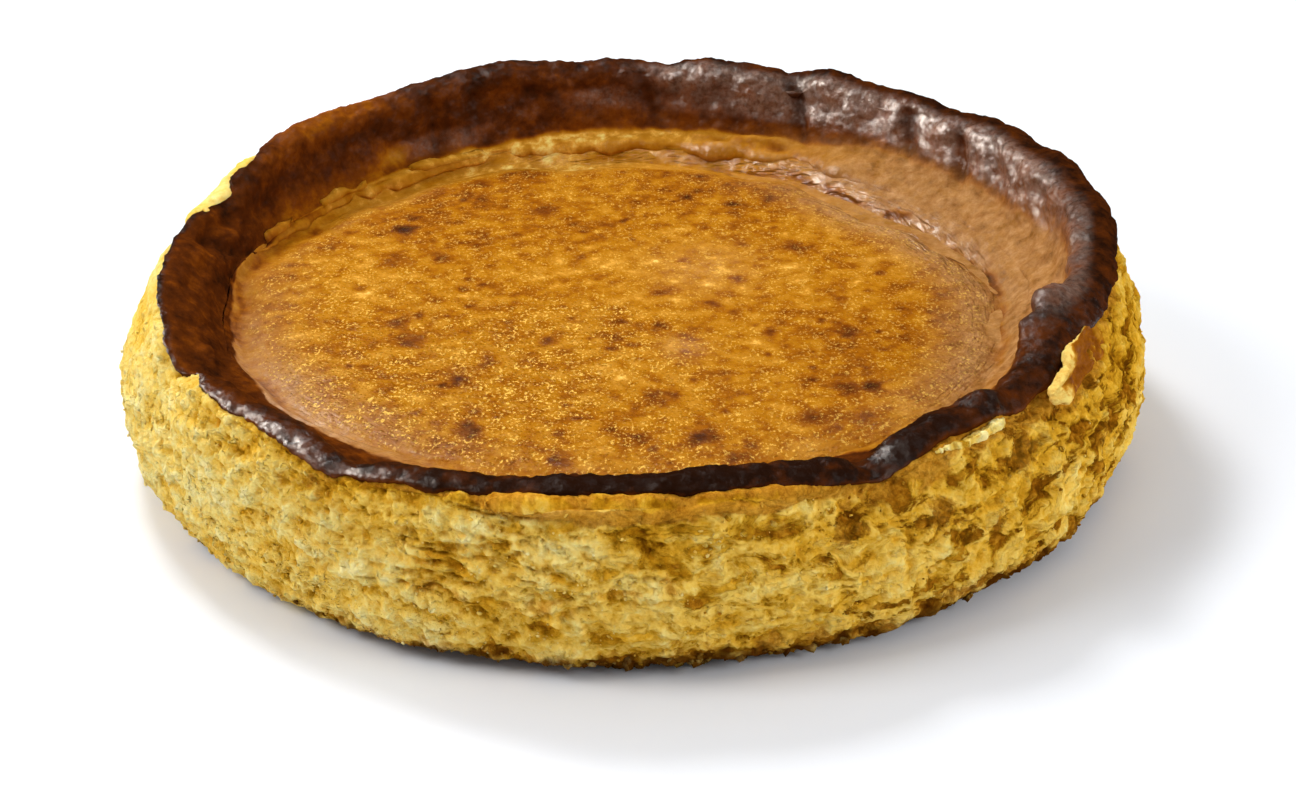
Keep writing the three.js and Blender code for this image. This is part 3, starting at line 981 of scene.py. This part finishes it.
TOASTED = [
    (292, 41, 7.0, 2.0, 0.8), (301.5, 43, 3.0, 2.5, 0.9), (316.6, 44.8, 3.0, 3.0, 0.8),
    (328, 45, 5.0, 6.0, 0.8), (263.7, 39.3, 4.0, 1.4, 0.5), (275, 39.5, 8.0, 1.4, 0.5),
    (235, 36.4, 3.0, 2.0, 0.5), (229.7, 36.1, 2.5, 2.0, 0.4), (248, 23.8, 2.0, 2.0, 0.5),
    (253, 21.5, 3.0, 2.0, 0.5), (261, 19.5, 3.0, 2.5, 0.5), (271, 25, 4.0, 4.0, 0.2),
]
CREAMY = [
    (265, 32, 3.0, 4.0, 0.24), (272, 25, 3.0, 4.0, 0.20), (263.4, 17.4, 2.5, 2.5, 0.18),
    (243.5, 22.7, 5.0, 6.0, 0.16), (215, 24, 18.0, 12.0, 0.16), (300, 20, 6.0, 8.0, 0.14),
]
# Height in mm to which the foot of the side is burnt, at eight points from the right round by the back
BURNT_TO = [3.5, 4.0, 4.0, 3.0, 2.0, 2.6, 5.4, 5.4]


# Mesh of the side: sectors, rows, and stations of the rows that run in under the skin
WALL_SECTORS, WALL_ROWS = 228, 17
UNDER_SKIN = [13.8, 14.6, 15.4, 16.3, 17.4, 18.8, CREASE]
CROWDED = (260, 18)  # angle where sectors are closest together, and by how many degrees they move
LID = (7, 27)  # mm; how far out from the crease, and how high, the hidden lid over the side's rows is


def wall_rings(angle, station, thick):
    """Radius and height in mm of the side's rings, which run in under the skin; thick is the skin."""
    radius, height = on_cake(angle, station)
    edge = skin_edge(angle)
    radius, height = lay_panel(angle, station, edge, radius, height)
    inset = ramp(station, edge - 0.7, edge + 0.6) * 2.2 * thick
    radius = radius - inset * ramp(station, CREST + 1.0, CREST - 0.5)
    # what the skin hides is drawn in towards the middle of the cross-section
    drawn_in = 0.3 * ramp(station, edge + 0.1, edge + 1.6) + 0.2 * ramp(station, 16, 18)
    drawn_in = drawn_in + 0.15 * bell(angle, 169, 7) * ramp(station, edge + 0.6, edge + 1.8)
    radius = radius + (CORE[0] - radius) * drawn_in
    height = height + (CORE[1] - height) * drawn_in
    lid = station == CREASE
    return np.where(lid, radius + LID[0], radius), np.where(lid, LID[1], height)


def smooth_left(angle, height):
    """The smooth upper part of the side at the left."""
    return bell(angle, 185, 22) * ramp(height, 22, 34)


class CrumbZones:
    """Values over the side that its relief and its colours share, called z below."""

    def __init__(self, points, station):
        angle = angles_of(points)
        height = points[:, 2] / MM
        self.points, self.station, self.angle, self.height = points, station, angle, height
        self.edge = skin_edge(angle)
        self.torn = bell(angle, *TORN_PATCH) * ramp(station, 12.5, 14)
        self.smooth = smooth_left(angle, height)
        self.upper = bell(angle, 251, 24) * ramp(height, 13, 22)
        self.foot = ramp(height, 13, 4) * plateau(angle, 290, 60, 0.1, 0.6)
        self.broad = lumps(points, 15, 4, seed=11)
        # torn layers drawn out round the side, and scales of crumb
        drawn = warped(round_points(angle, height, 1.7), 5, 2.2, seed=19)
        self.layers = stepped(lumps(drawn, 10, 5, 23, 0.8), 3.5, 0.10)
        self.scales = stepped(lumps(warped(points, 3, 1.2, seed=21), 4, 4, 27, 0.8), 3.0, 0.12)
        # shingles at the upper front left, each thickest at its lower edge
        layer = height / 4.0 + 1.7 * lumps(round_points(angle, height, 3.0), 13, 5, 35, 0.8)
        above = layer - np.floor(layer)
        shingles = (1 - above) * ramp(above, 0.0, 0.14) - 0.45
        self.strata = shingles * self.upper * ramp(lumps(points, 9, 3, seed=37), -0.5, 0.1)
        # crumbs with holes between them, most at the left
        spongy = 0.6 + 0.6 * plateau(angle, 225, 55) - self.smooth - 0.35 * self.upper
        self.spongy = np.clip(spongy, 0.15, 1.2)
        self.crumbly = lumps(warped(points, 3.0, 1.2, seed=5), 3.8, 4, 2, 0.5)
        holes = ramp(lumps(points, 2.4, 3, seed=7), 0.2, 0.5)
        self.holes = holes * ramp(lumps(points, 11, 2, seed=13), -0.2, 0.4)
        # a lip below the rim at the front, which juts out above a ragged line
        self.ledge = plateau(angle, 272, 15, 0.1, 0.5)
        self.level = 39.6 + lumps(round_points(angle, height * 0, 1), 9, 4, 33, 0.7)
        self.lip = self.ledge * band(height, self.level - 0.35, self.level + 0.35, 41, 46)


def crumb_relief(z):
    """How far the crumb stands out, as a share of its depth."""
    side = ramp(z.station, BASE_EDGE, WALL_FOOT + 0.6)
    bare = ramp(z.station, z.edge + 0.2, z.edge - 0.6)
    layered = 0.7 + 0.6 * bell(z.angle, 252, 22) * ramp(z.height, 12, 24)
    layered = layered + 0.4 * plateau(z.angle, 312, 30)
    relief = 0.4 * z.broad + layered * (z.layers + 0.6 * z.scales) + 1.5 * z.strata
    relief = relief + z.spongy * (0.5 * z.crumbly - 0.6 * z.holes)
    relief = relief * (1 - 0.8 * z.torn) * (1 - 0.5 * z.lip) + 1.5 * z.lip
    return side * bare * (relief + z.torn)


def crumb_tone(z):
    """How light the crumb is, from pits to cream: the tone follows the relief, with painted shade in
    pits and hollows and painted light on raised crumb.
    """
    tone = 0.62 + 0.20 * z.layers + 0.16 * z.scales + z.spongy * (0.18 * z.crumbly - 0.22 * z.holes)
    tone = tone + 0.30 * z.strata + 0.08 * z.broad + 0.2 * z.torn - 0.06 * z.lip
    # lighter at the left and darker at the right, partly the crumb browner at the right and partly
    # painted light and shade where the light falls from the left; darker in the rim's painted shade at
    # the front
    tone = tone + 0.05 * bell(z.angle, 205, 40) - 0.18 * plateau(z.angle, 320, 65, low=0.15)
    tone = tone - 0.20 * bell(z.angle, 335, 24) * ramp(z.height, 22, 36) - 0.02 * bell(z.angle, 322, 30)
    shaded = ramp(z.station, z.edge - 2.2, z.edge - 0.4) * plateau(z.angle, 262, 38, high=0.7)
    return tone - 0.32 * shaded + patches(z.angle, z.height, CREAMY)


def crumb_brown(z):
    """Where brown smears lie: most at the front right and at the foot."""
    brown = patches(z.angle, z.height, SMUDGES) + 0.5 * z.foot + 0.48 * plateau(z.angle, 312, 36)
    brown = brown + 0.26 * bell(z.angle, 335, 16) * ramp(z.height, 22, 36)
    brown = brown - 0.12 - 0.12 * bell(z.angle, 215, 40) - 0.3 * z.smooth
    return brown - 0.6 * z.torn - 0.1 * z.lip - 0.3 * z.layers


def crumb_toast(z):
    """Where toasted skin is left on the crumb: below the rim, on the lip's line and at the foot."""
    toast = patches(z.angle, z.height, TOASTED) - 0.25 * z.smooth + 0.5 * z.foot - 0.2 * z.scales
    below_skin = ramp(z.station, z.edge - 1.2, z.edge - 0.2)
    toast = toast + below_skin * (0.8 * plateau(z.angle, *FRONT) + 0.6 * bell(z.angle, 350, 20))
    further_down = ramp(z.station, z.edge - 3.2, z.edge - 0.8)
    toast = toast + 0.8 * further_down * plateau(z.angle, 311, 22, high=0.7)
    toast = toast + z.ledge * (hill(z.height, z.level + 0.4, 0.8) + 0.2 * z.lip)
    toast = toast + 0.7 * z.lip * lumps(z.points, 5, 4, seed=39)
    return toast + 0.12 * plateau(z.angle, 305, 50)


def crumb_burnt(z):
    """How burnt the foot of the side is, up to a ragged line."""
    ragged = z.height + 3.5 * lumps(z.points, 6, 4, seed=29)
    burnt_to = around(BURNT_TO, z.angle)
    return 0.92 * ramp(ragged, burnt_to + 1.2, burnt_to - 1.2)


class CAKE_OT_crumb_wall(bpy.types.Operator):
    """Models the crumbly side and the base, which reach in under the skin"""

    bl_idname = "cake.crumb_wall"
    bl_label = "Crumb wall"

    def execute(self, context):
        settings = context.scene.cake
        up_the_side = np.linspace(WALL_FOOT, WALL_TOP, WALL_ROWS)
        stations = np.array([BASE_IN, BASE_EDGE, *up_the_side, *UNDER_SKIN])
        piece, angle, row = ring_tube("crumb_wall", WALL_SECTORS, len(stations), closed=False)
        angle = angle - CROWDED[1] * np.sin(np.radians(angle - CROWDED[0]))
        station = stations[row]
        set_rings(piece, angle, *wall_rings(angle, station, settings.skin_thickness / MM))
        paint(piece, "station", station)
        subdivide(piece, 2)
        close_ends(piece)

        points, normals = mesh_points(piece), mesh_normals(piece)
        z = CrumbZones(points, painted(piece, "station"))
        set_points(piece, points + normals * (settings.crumb_depth * crumb_relief(z))[:, None])
        # the tone, which follows the relief: painted shade in pits and hollows, painted light on raised
        # crumb
        paint(piece, "relief", crumb_tone(z))
        paint(piece, "brown", crumb_brown(z))
        paint(piece, "toast", crumb_toast(z))
        paint(piece, "burnt", crumb_burnt(z))
        paint_places(piece, "drawn", round_points(z.angle, z.height, 1.5))
        paint(piece, "curdy", plateau(z.angle, 205, 62, 0.25, 0.85) * (1 - 0.4 * z.upper))
        paint(piece, "smooth", np.clip(z.lip + 0.8 * z.smooth + z.torn, 0, 1))
        finish_piece(piece, crumb(), replaced=True)
        return {"FINISHED"}


SHARD_SIDES = 7


def shard_faces(count):
    """Triangles of many shards: a lower and an upper ring, closed by a point below and one above."""
    low = np.arange(SHARD_SIDES)
    high = low + SHARD_SIDES
    after = np.roll(low, -1)
    foot, tip = 2 * SHARD_SIDES, 2 * SHARD_SIDES + 1
    faces = np.concatenate([
        np.stack([after, low, low * 0 + foot], axis=1),
        np.stack([low, after, after + SHARD_SIDES], axis=1),
        np.stack([low, after + SHARD_SIDES, high], axis=1),
        np.stack([high, after + SHARD_SIDES, low * 0 + tip], axis=1),
    ])
    return (faces[None] + np.arange(count)[:, None, None] * (tip + 1)).reshape(-1, 3)


def scatter(name, places, normals, sizes, draw, flat, tilt):
    """One mesh of small ragged shards, and how many vertices each has; flat is the thickness as a
    share of the width, and tilt how far a shard leans by chance."""
    sides = SHARD_SIDES
    count = len(places)
    turn = np.linspace(0, math.tau, sides, endpoint=False)
    ragged = 0.55 + 0.6 * draw.random((count, 2, sides))
    ring = np.stack([np.cos(turn), np.sin(turn)], axis=1) * ragged[..., None]
    ring[:, 1] *= 0.75
    shape = np.zeros((count, 2 * sides + 2, 3))
    shape[:, :sides, :2] = ring[:, 0]
    shape[:, sides:2 * sides, :2] = ring[:, 1]
    shape[:, sides:2 * sides, 2] = flat * (0.7 + 0.6 * draw.random((count, sides)))
    shape[:, -2, 2] = -0.3 * flat
    shape[:, -1, 2] = 1.3 * flat
    shape[:, :, 0] *= 0.6 + 0.8 * draw.random((count, 1))
    curl = (draw.random((count, 1)) - 0.25) * 0.9 * (1 - min(flat, 0.8))
    shape[:, :, 2] += curl * shape[:, :, 0] ** 2
    up = normals + tilt * draw.normal(size=(count, 3))
    up /= np.linalg.norm(up, axis=1)[:, None]
    side = np.cross(up, draw.normal(size=(count, 3)))
    side /= np.linalg.norm(side, axis=1)[:, None]
    axes = np.stack([side, np.cross(up, side), up], axis=1)
    points = np.einsum("nps,nsx->npx", shape * sizes[:, None, None], axes) + places[:, None]
    mesh = bpy.data.meshes.new(name)
    mesh.from_pydata(points.reshape(-1, 3).tolist(), [], shard_faces(count).tolist())
    piece = bpy.data.objects.new(name, mesh)
    bpy.context.scene.collection.objects.link(piece)
    return piece, shape.shape[1]


# Scattered crumb: name, setting with its number, smallest and largest in mm, flatness, tilt
CRUMB_KINDS = [
    ("loose_crumbs", "crumbs", 0.2, 0.55, 0.7, 0.5),
    ("thin_flakes", "flakes", 0.5, 1.2, 0.25, 0.3),
]
CRUMB_MARKS = ("brown", "toast", "burnt", "curdy", "smooth")


class CAKE_OT_crumb_flakes(bpy.types.Operator):
    """Scatters loose crumbs and thin flakes over the side"""

    bl_idname = "cake.crumb_flakes"
    bl_label = "Crumbs and flakes"

    def execute(self, context):
        settings = context.scene.cake
        wall = bpy.data.objects["crumb_wall"]
        points, normals = mesh_points(wall), mesh_normals(wall)
        height, station = points[:, 2] / MM, painted(wall, "station")
        angle = angles_of(points)
        draw = np.random.default_rng(settings.seed)
        room = (station > 2.6) * (station < skin_edge(angle) - 0.8)
        likely = 0.35 + plateau(angle, 235, 60) - 0.9 * smooth_left(angle, height)
        likely = room * likely.clip(0, 2) * ramp(lumps(points, 9, 2, seed=91), -0.4, 0.3)
        relief = painted(wall, "relief")
        for name, number, low, high, flat, tilt in CRUMB_KINDS:
            count = getattr(settings, number)
            chosen = draw.choice(len(points), count, replace=False, p=likely / likely.sum())
            sizes = (low + (high - low) * draw.random(count) ** 2.5) * MM
            piece, each = scatter(name, points[chosen], normals[chosen], sizes, draw, flat, tilt)
            tone = relief[chosen] + 0.05 + 0.15 * draw.random(count)
            paint(piece, "relief", np.repeat(tone, each))
            for mark in CRUMB_MARKS:
                paint(piece, mark, np.repeat(painted(wall, mark)[chosen], each))
            paint_places(piece, "drawn", mesh_points(piece))
            finish_piece(piece, wall.data.materials[0])
        return {"FINISHED"}


SMALL_CHIP, PLAIN_CHIP = 0.5, 1.2  # mm; the smallest, and the largest outside the clusters
# Clusters of burnt chips at the base: angle, width in degrees, number, largest in mm
CHIP_CLUSTERS = [
    (233, 1.5, 8, 1.5), (240, 4.0, 20, 1.4), (250, 3.0, 14, 1.5), (266, 2.5, 18, 2.2),
    (272, 3.0, 22, 2.4), (279.5, 2.5, 18, 2.2), (287, 1.5, 12, 2.6), (291, 1.5, 12, 2.6),
    (304, 2.5, 14, 2.0), (308, 2.0, 10, 2.0), (322, 0.8, 5, 3.0), (326.6, 0.8, 5, 2.6),
]


class CAKE_OT_base_chips(bpy.types.Operator):
    """Scatters burnt chips round the edge of the base"""

    bl_idname = "cake.base_chips"
    bl_label = "Burnt chips at the base"

    def execute(self, context):
        settings = context.scene.cake
        draw = np.random.default_rng(settings.seed + 1)
        angle = [draw.random(settings.chips) * TURN]
        largest = [np.full(settings.chips, PLAIN_CHIP)]
        for middle, width, number, size in CHIP_CLUSTERS:
            angle.append(draw.normal(middle, width, number))
            largest.append(np.full(number, size))
        angle, largest = np.concatenate(angle) % TURN, np.concatenate(largest)
        count = len(angle)
        radius, height = on_cake(angle, 2.0 + 1.1 * draw.random(count))
        out = in_rings(angle, 1.0, angle * 0 - 0.2)
        places = in_rings(angle, radius, height + 1.2) * MM
        sizes = (SMALL_CHIP + (largest - SMALL_CHIP) * draw.random(count) ** 1.5) * MM
        piece, each = scatter("base_chips", places, out, sizes, draw, 0.45, 0.5)
        points = mesh_points(piece)
        points[:, 2] = np.maximum(points[:, 2], 0.1 * MM)
        set_points(piece, points)
        paint(piece, "relief", np.repeat(0.4 + 0.4 * draw.random(count), each))
        paint(piece, "brown", np.repeat(0.6 + 0.4 * draw.random(count), each))
        for mark in ("toast", "curdy", "smooth"):
            paint(piece, mark, np.repeat(0.0 * angle, each))
        paint(piece, "burnt", np.repeat(0.55 + 0.45 * draw.random(count), each))
        paint_places(piece, "drawn", points)
        finish_piece(piece, bpy.data.objects["crumb_wall"].data.materials[0])
        return {"FINISHED"}


def peeled_piece(name, columns, rows, place, thick):
    """A thin patch with thickness; place gives x, y, z in mm for shares along and up the patch."""
    bpy.ops.object.select_all(action="DESELECT")
    bpy.ops.mesh.primitive_grid_add(x_subdivisions=columns, y_subdivisions=rows, size=1)
    piece = bpy.context.object
    piece.name = piece.data.name = name
    points = mesh_points(piece)
    along, up = points[:, 0] + 0.5, points[:, 1] + 0.5
    set_points(piece, place(along, up) * MM)
    paint(piece, "along", along)
    paint(piece, "up", up)
    solid = piece.modifiers.new("Thickness", "SOLIDIFY")
    solid.thickness = thick * MM
    solid.offset = 0
    bpy.ops.object.modifier_apply(modifier=solid.name)
    subdivide(piece, 2)
    return piece


def flap_place(along, up):
    """The flap hangs on the side by its right, and its thick torn left edge curls out."""
    ragged = lumps(np.stack([along * 14, up * 12, along * 0], axis=1) * MM, 5, 3, seed=101)
    height = 41.0 + 8.5 * up + 0.8 * ragged
    left = 322.2 + 4.5 * up - 4.2 * np.sin(np.pi * up)
    angle = left + (340 - left) * along + 1.2 * ragged * (1 - along)
    radius = on_cake(angle, station_at(angle, height))[0]
    held = np.maximum(np.maximum(ramp(along, 0.5, 1), ramp(up, 0.2, 0)), ramp(up, 0.8, 1))
    return in_rings(angle, radius - 0.2 + 3.6 * (1 - along) ** 3 * (1 - 0.5 * held) - 1.8 * held, height)


def strip_place(along, up):
    """The strip stands off the side just below the roll and tapers to both ends."""
    ragged = lumps(np.stack([along * 24, up * 5, along * 0], axis=1) * MM, 6, 4, seed=103)
    angle = 303.5 + 10.5 * along
    wide = np.sin(np.pi * along) ** 0.5
    radius, height = on_cake(angle, skin_edge(angle) - 0.1 - 0.4 * (1 - up) * wide + 0.1 * ragged)
    return in_rings(angle, radius - 0.8 + 3.8 * up * wide * (0.8 + 0.5 * ragged), height - 1.2)


class CAKE_OT_peeled_skin(bpy.types.Operator):
    """Models the curled flap of skin and the lifted strip of crumb at the front right"""

    bl_idname = "cake.peeled_skin"
    bl_label = "Flap and strip"

    def execute(self, context):
        skin = context.scene.cake_skin.material
        crumbs = bpy.data.objects["crumb_wall"].data.materials[0]
        for name, columns, rows, place, thick, material, slot in (
            ("curled_flap", 24, 18, flap_place, 2.2, skin, "burnt_skin"),
            ("lifted_strip", 26, 6, strip_place, 1.6, crumbs, "crumb"),
        ):
            piece = peeled_piece(name, columns, rows, place, thick)
            points, normals = mesh_points(piece), mesh_normals(piece)
            relief = lumps(warped(points, 3, 1.0, seed=99), 4, 4, 107, 0.6)
            set_points(piece, points + normals * (0.5 * relief * MM)[:, None])
            along, up = painted(piece, "along"), painted(piece, "up")
            outward = (normals * points * (1, 1, 0)).sum(axis=1) / np.hypot(points[:, 0], points[:, 1])
            browned = ramp(outward, 0.1, 0.5) * ramp(along + 0.1 * relief, 0.10, 0.2)
            faded = ramp(along + 0.3 * relief, 1.0, 0.7)
            paint(piece, "bake", 0.02 + browned * (0.20 + 0.29 * faded))
            paint(piece, "gloss", 0.02 + 0.2 * browned * faded)
            paint(piece, "relief", 0.68 + 0.3 * relief)
            paint(piece, "toast", 0.3 * ramp(up, 0.5, 0.1))
            for mark in ("pale", "bloom", "sparkle", "wrinkled", "brown", "burnt", "curdy", "smooth"):
                paint(piece, mark, 0 * along)
            paint_places(piece, "drawn", points)
            finish_piece(piece, material)
        return {"FINISHED"}


# Mesh of the rim: sectors, rows that show, and rows that run back inside the crumb
RIM_SECTORS, RIM_ROWS, RIM_HIDDEN = 240, 20, 4


class CAKE_OT_burnt_rim(bpy.types.Operator):
    """Models the burnt skin over the rim, down to the slope above the crease"""

    bl_idname = "cake.burnt_rim"
    bl_label = "Burnt rim"

    def execute(self, context):
        thick = context.scene.cake.skin_thickness / MM
        rows, hidden = RIM_ROWS, RIM_HIDDEN
        piece, angle, row = ring_tube("burnt_rim", RIM_SECTORS, rows + hidden, closed=True)
        share = np.clip(row / (rows - 1), 0, 1)
        edge = skin_edge(angle)
        station = edge + (SEAM - edge) * share
        radius, height = on_cake(angle, station)
        radius, height = lay_panel(angle, station, edge, radius, height)
        # the underside runs back inside the crumb, from the seam out to the torn edge
        back = np.clip((row - rows + 1) / (hidden + 1), 0, 1)
        edge_radius, edge_height = on_cake(angle, edge)
        seam_radius, seam_height = on_cake(angle, edge * 0 + SEAM)
        low = seam_height - SEAM_DEPTH
        under = row >= rows
        in_radius = seam_radius + (edge_radius - thick - seam_radius) * back
        in_height = low + (edge_height + 0.6 * thick - low) * back**2
        radius = np.where(under, in_radius, radius)
        height = np.where(under, in_height, height)
        set_rings(piece, angle, radius, height)
        paint(piece, "station", np.where(under, edge, station))
        subdivide(piece, 2)

        points, normals = mesh_points(piece), mesh_normals(piece)
        station = painted(piece, "station")
        angle = angles_of(points)
        relief = skin_relief(angle, station, points)
        set_points(piece, points + normals * (relief * MM)[:, None])
        skin_paint(piece, angle, station, points, station * 0)
        finish_piece(piece, context.scene.cake_skin.material, replaced=True)
        return {"FINISHED"}


# Largest burnt spots on the top: x and y in mm from the middle, radius in mm, darkness
SPOTS = [
    (-62, 49, 3.0, 1.0), (-51, 31, 2.6, 0.8), (-63, 27, 3.2, 0.6), (-58, -12, 3.2, 0.7),
    (-54, -22, 3.6, 0.9), (-36, -70, 3.6, 0.9), (18, -76, 3.8, 1.0), (-15, -87, 3.0, 0.8),
    (-24, 61, 3.2, 0.7), (52, -51, 3.0, 0.7), (58, -50, 2.6, 0.9), (-34, -34, 2.2, 0.7),
    (-41, -44, 3.0, 0.7), (-19, -22, 2.6, 0.7), (-13, 28, 3.0, 0.6), (9, 9, 4.0, 0.6),
    (22, -44, 4.0, 0.5), (41, -67, 3.2, 0.7), (55, -68, 3.0, 0.5), (35, -18, 2.4, 0.8),
    (55, -20, 3.0, 0.6), (5, -76, 3.0, 0.5), (45, 36, 3.2, 0.5), (8, -54, 3.6, 0.5),
]
SMALL_SPOTS = 150
SPOT_REACH = 90  # mm from the middle


def burnt_spots(points, seed):
    """Darkness of the burnt spots at each point; small ones lie by chance between the large."""
    draw = np.random.default_rng(seed)
    spots = list(SPOTS)
    for _ in range(SMALL_SPOTS):
        far, turn = SPOT_REACH * math.sqrt(draw.random()), draw.random() * math.tau
        size, dark = 0.8 + 1.6 * draw.random() ** 2, 0.25 + 0.4 * draw.random()
        spots.append((far * math.cos(turn), far * math.sin(turn), size, dark))
    spot = np.zeros(len(points))
    wander = 1.2 * lumps(points, 5, 2, seed=83)
    for x, y, size, dark in spots:
        off_x = (points[:, 0] / MM - x + wander) / size
        off_y = (points[:, 1] / MM - y + wander) / (1.35 * size)
        spot = np.maximum(spot, dark * np.exp(-((off_x**2 + off_y**2) ** 1.3)))
    return spot


TOP_CELLS = 74  # each way, before rounding
# Shares of the top's radius at which the solid's rings lie, from the middle out, and their stations
TOP_SHARES = [0.22, 0.44, 0.66, 0.84, 0.93, 0.99]
TOP_STATIONS = [30, 29, 28, 27, 26, SEAM]


class CAKE_OT_sunken_top(bpy.types.Operator):
    """Models the sunken caramel top with its burnt spots, and the crease round it"""

    bl_idname = "cake.sunken_top"
    bl_label = "Sunken top"

    def execute(self, context):
        bpy.ops.object.select_all(action="DESELECT")
        bpy.ops.mesh.primitive_grid_add(x_subdivisions=TOP_CELLS, y_subdivisions=TOP_CELLS, size=2)
        piece = context.object
        piece.name = piece.data.name = "sunken_top"
        bpy.ops.object.mode_set(mode="EDIT")
        select_open_edges()
        bpy.ops.mesh.extrude_region_move(TRANSFORM_OT_translate={"value": (0, 0, -1)})
        bpy.ops.object.mode_set(mode="OBJECT")
        points = mesh_points(piece)
        x = points[:, 0] * np.sqrt(1 - points[:, 1] ** 2 / 2)
        y = points[:, 1] * np.sqrt(1 - points[:, 0] ** 2 / 2)
        share = np.hypot(x, y)
        angle = np.degrees(np.arctan2(y, x)) % TURN
        first, last = TOP_SHARES[0], TOP_SHARES[-1]
        station = np.interp(share, TOP_SHARES, TOP_STATIONS)
        station = np.where(share > last, SEAM - 80 * (share - last), station)
        radius, height = on_cake(angle, station)
        inner = share < first
        middle = PROFILES[:, TOP_INNER, 1].mean()
        radius = np.where(inner, radius * share / first, radius)
        height = np.where(inner, middle + (height - middle) * (share / first) ** 2, height)
        height = height - 0.5 * ramp(share, 0.992, 0.999)
        height = np.where(points[:, 2] < -0.5, height - SEAM_DEPTH, height)
        set_rings(piece, angle, radius, height)
        paint(piece, "station", np.where(inner, TOP_INNER, station))
        subdivide(piece, 2)
        close_ends(piece)

        points, normals = mesh_points(piece), mesh_normals(piece)
        station = painted(piece, "station")
        angle = angles_of(points)
        spot = burnt_spots(points, context.scene.cake.seed) * ramp(station, 26, 27)
        relief = skin_relief(angle, station, points) + 0.25 * spot
        points = points + normals * (relief * ramp(normals[:, 2], 0.1, 0.3) * MM)[:, None]
        set_points(piece, points)
        skin_paint(piece, angle, station, points, spot)
        finish_piece(piece, context.scene.cake_skin.material, replaced=True)
        return {"FINISHED"}


class SkinSettings(bpy.types.PropertyGroup):
    """The skin's material, which three pieces share."""

    material: PointerProperty(
        name="Skin", description="Material of the burnt skin", type=bpy.types.Material)


class CAKE_PT_panel(bpy.types.Panel):
    """Lists the cake's pieces and settings"""

    bl_idname = "CAKE_PT_panel"
    bl_label = "Basque cheesecake"
    bl_space_type = "VIEW_3D"
    bl_region_type = "UI"
    bl_category = "Cheesecake"

    def draw(self, context):
        for settings in (context.scene.cake, context.scene.cake_stage):
            for name in settings.bl_rna.properties.keys():
                if name not in ("rna_type", "name"):
                    self.layout.prop(settings, name)
        for operator in OPERATORS:
            self.layout.operator(operator.bl_idname)


OPERATORS = (
    CAKE_OT_stage, CAKE_OT_crumb_wall, CAKE_OT_crumb_flakes, CAKE_OT_base_chips,
    CAKE_OT_peeled_skin, CAKE_OT_burnt_rim, CAKE_OT_sunken_top,
)
CLASSES = (CakeSettings, StageSettings, SkinSettings, *OPERATORS, CAKE_PT_panel)


def register():
    for each in CLASSES:
        bpy.utils.register_class(each)
    bpy.types.Scene.cake = PointerProperty(type=CakeSettings)
    bpy.types.Scene.cake_stage = PointerProperty(type=StageSettings)
    bpy.types.Scene.cake_skin = PointerProperty(type=SkinSettings)


def unregister():
    for name in ("cake", "cake_stage", "cake_skin"):
        delattr(bpy.types.Scene, name)
    for each in reversed(CLASSES):
        bpy.utils.unregister_class(each)


def main():
    register()
    bpy.context.scene.cake_skin.material = baked_skin()
    bpy.ops.cake.stage()
    bpy.ops.cake.crumb_wall()
    bpy.ops.cake.crumb_flakes()
    bpy.ops.cake.base_chips()
    bpy.ops.cake.peeled_skin()
    bpy.ops.cake.burnt_rim()
    bpy.ops.cake.sunken_top()


if __name__ == "__main__":
    main()
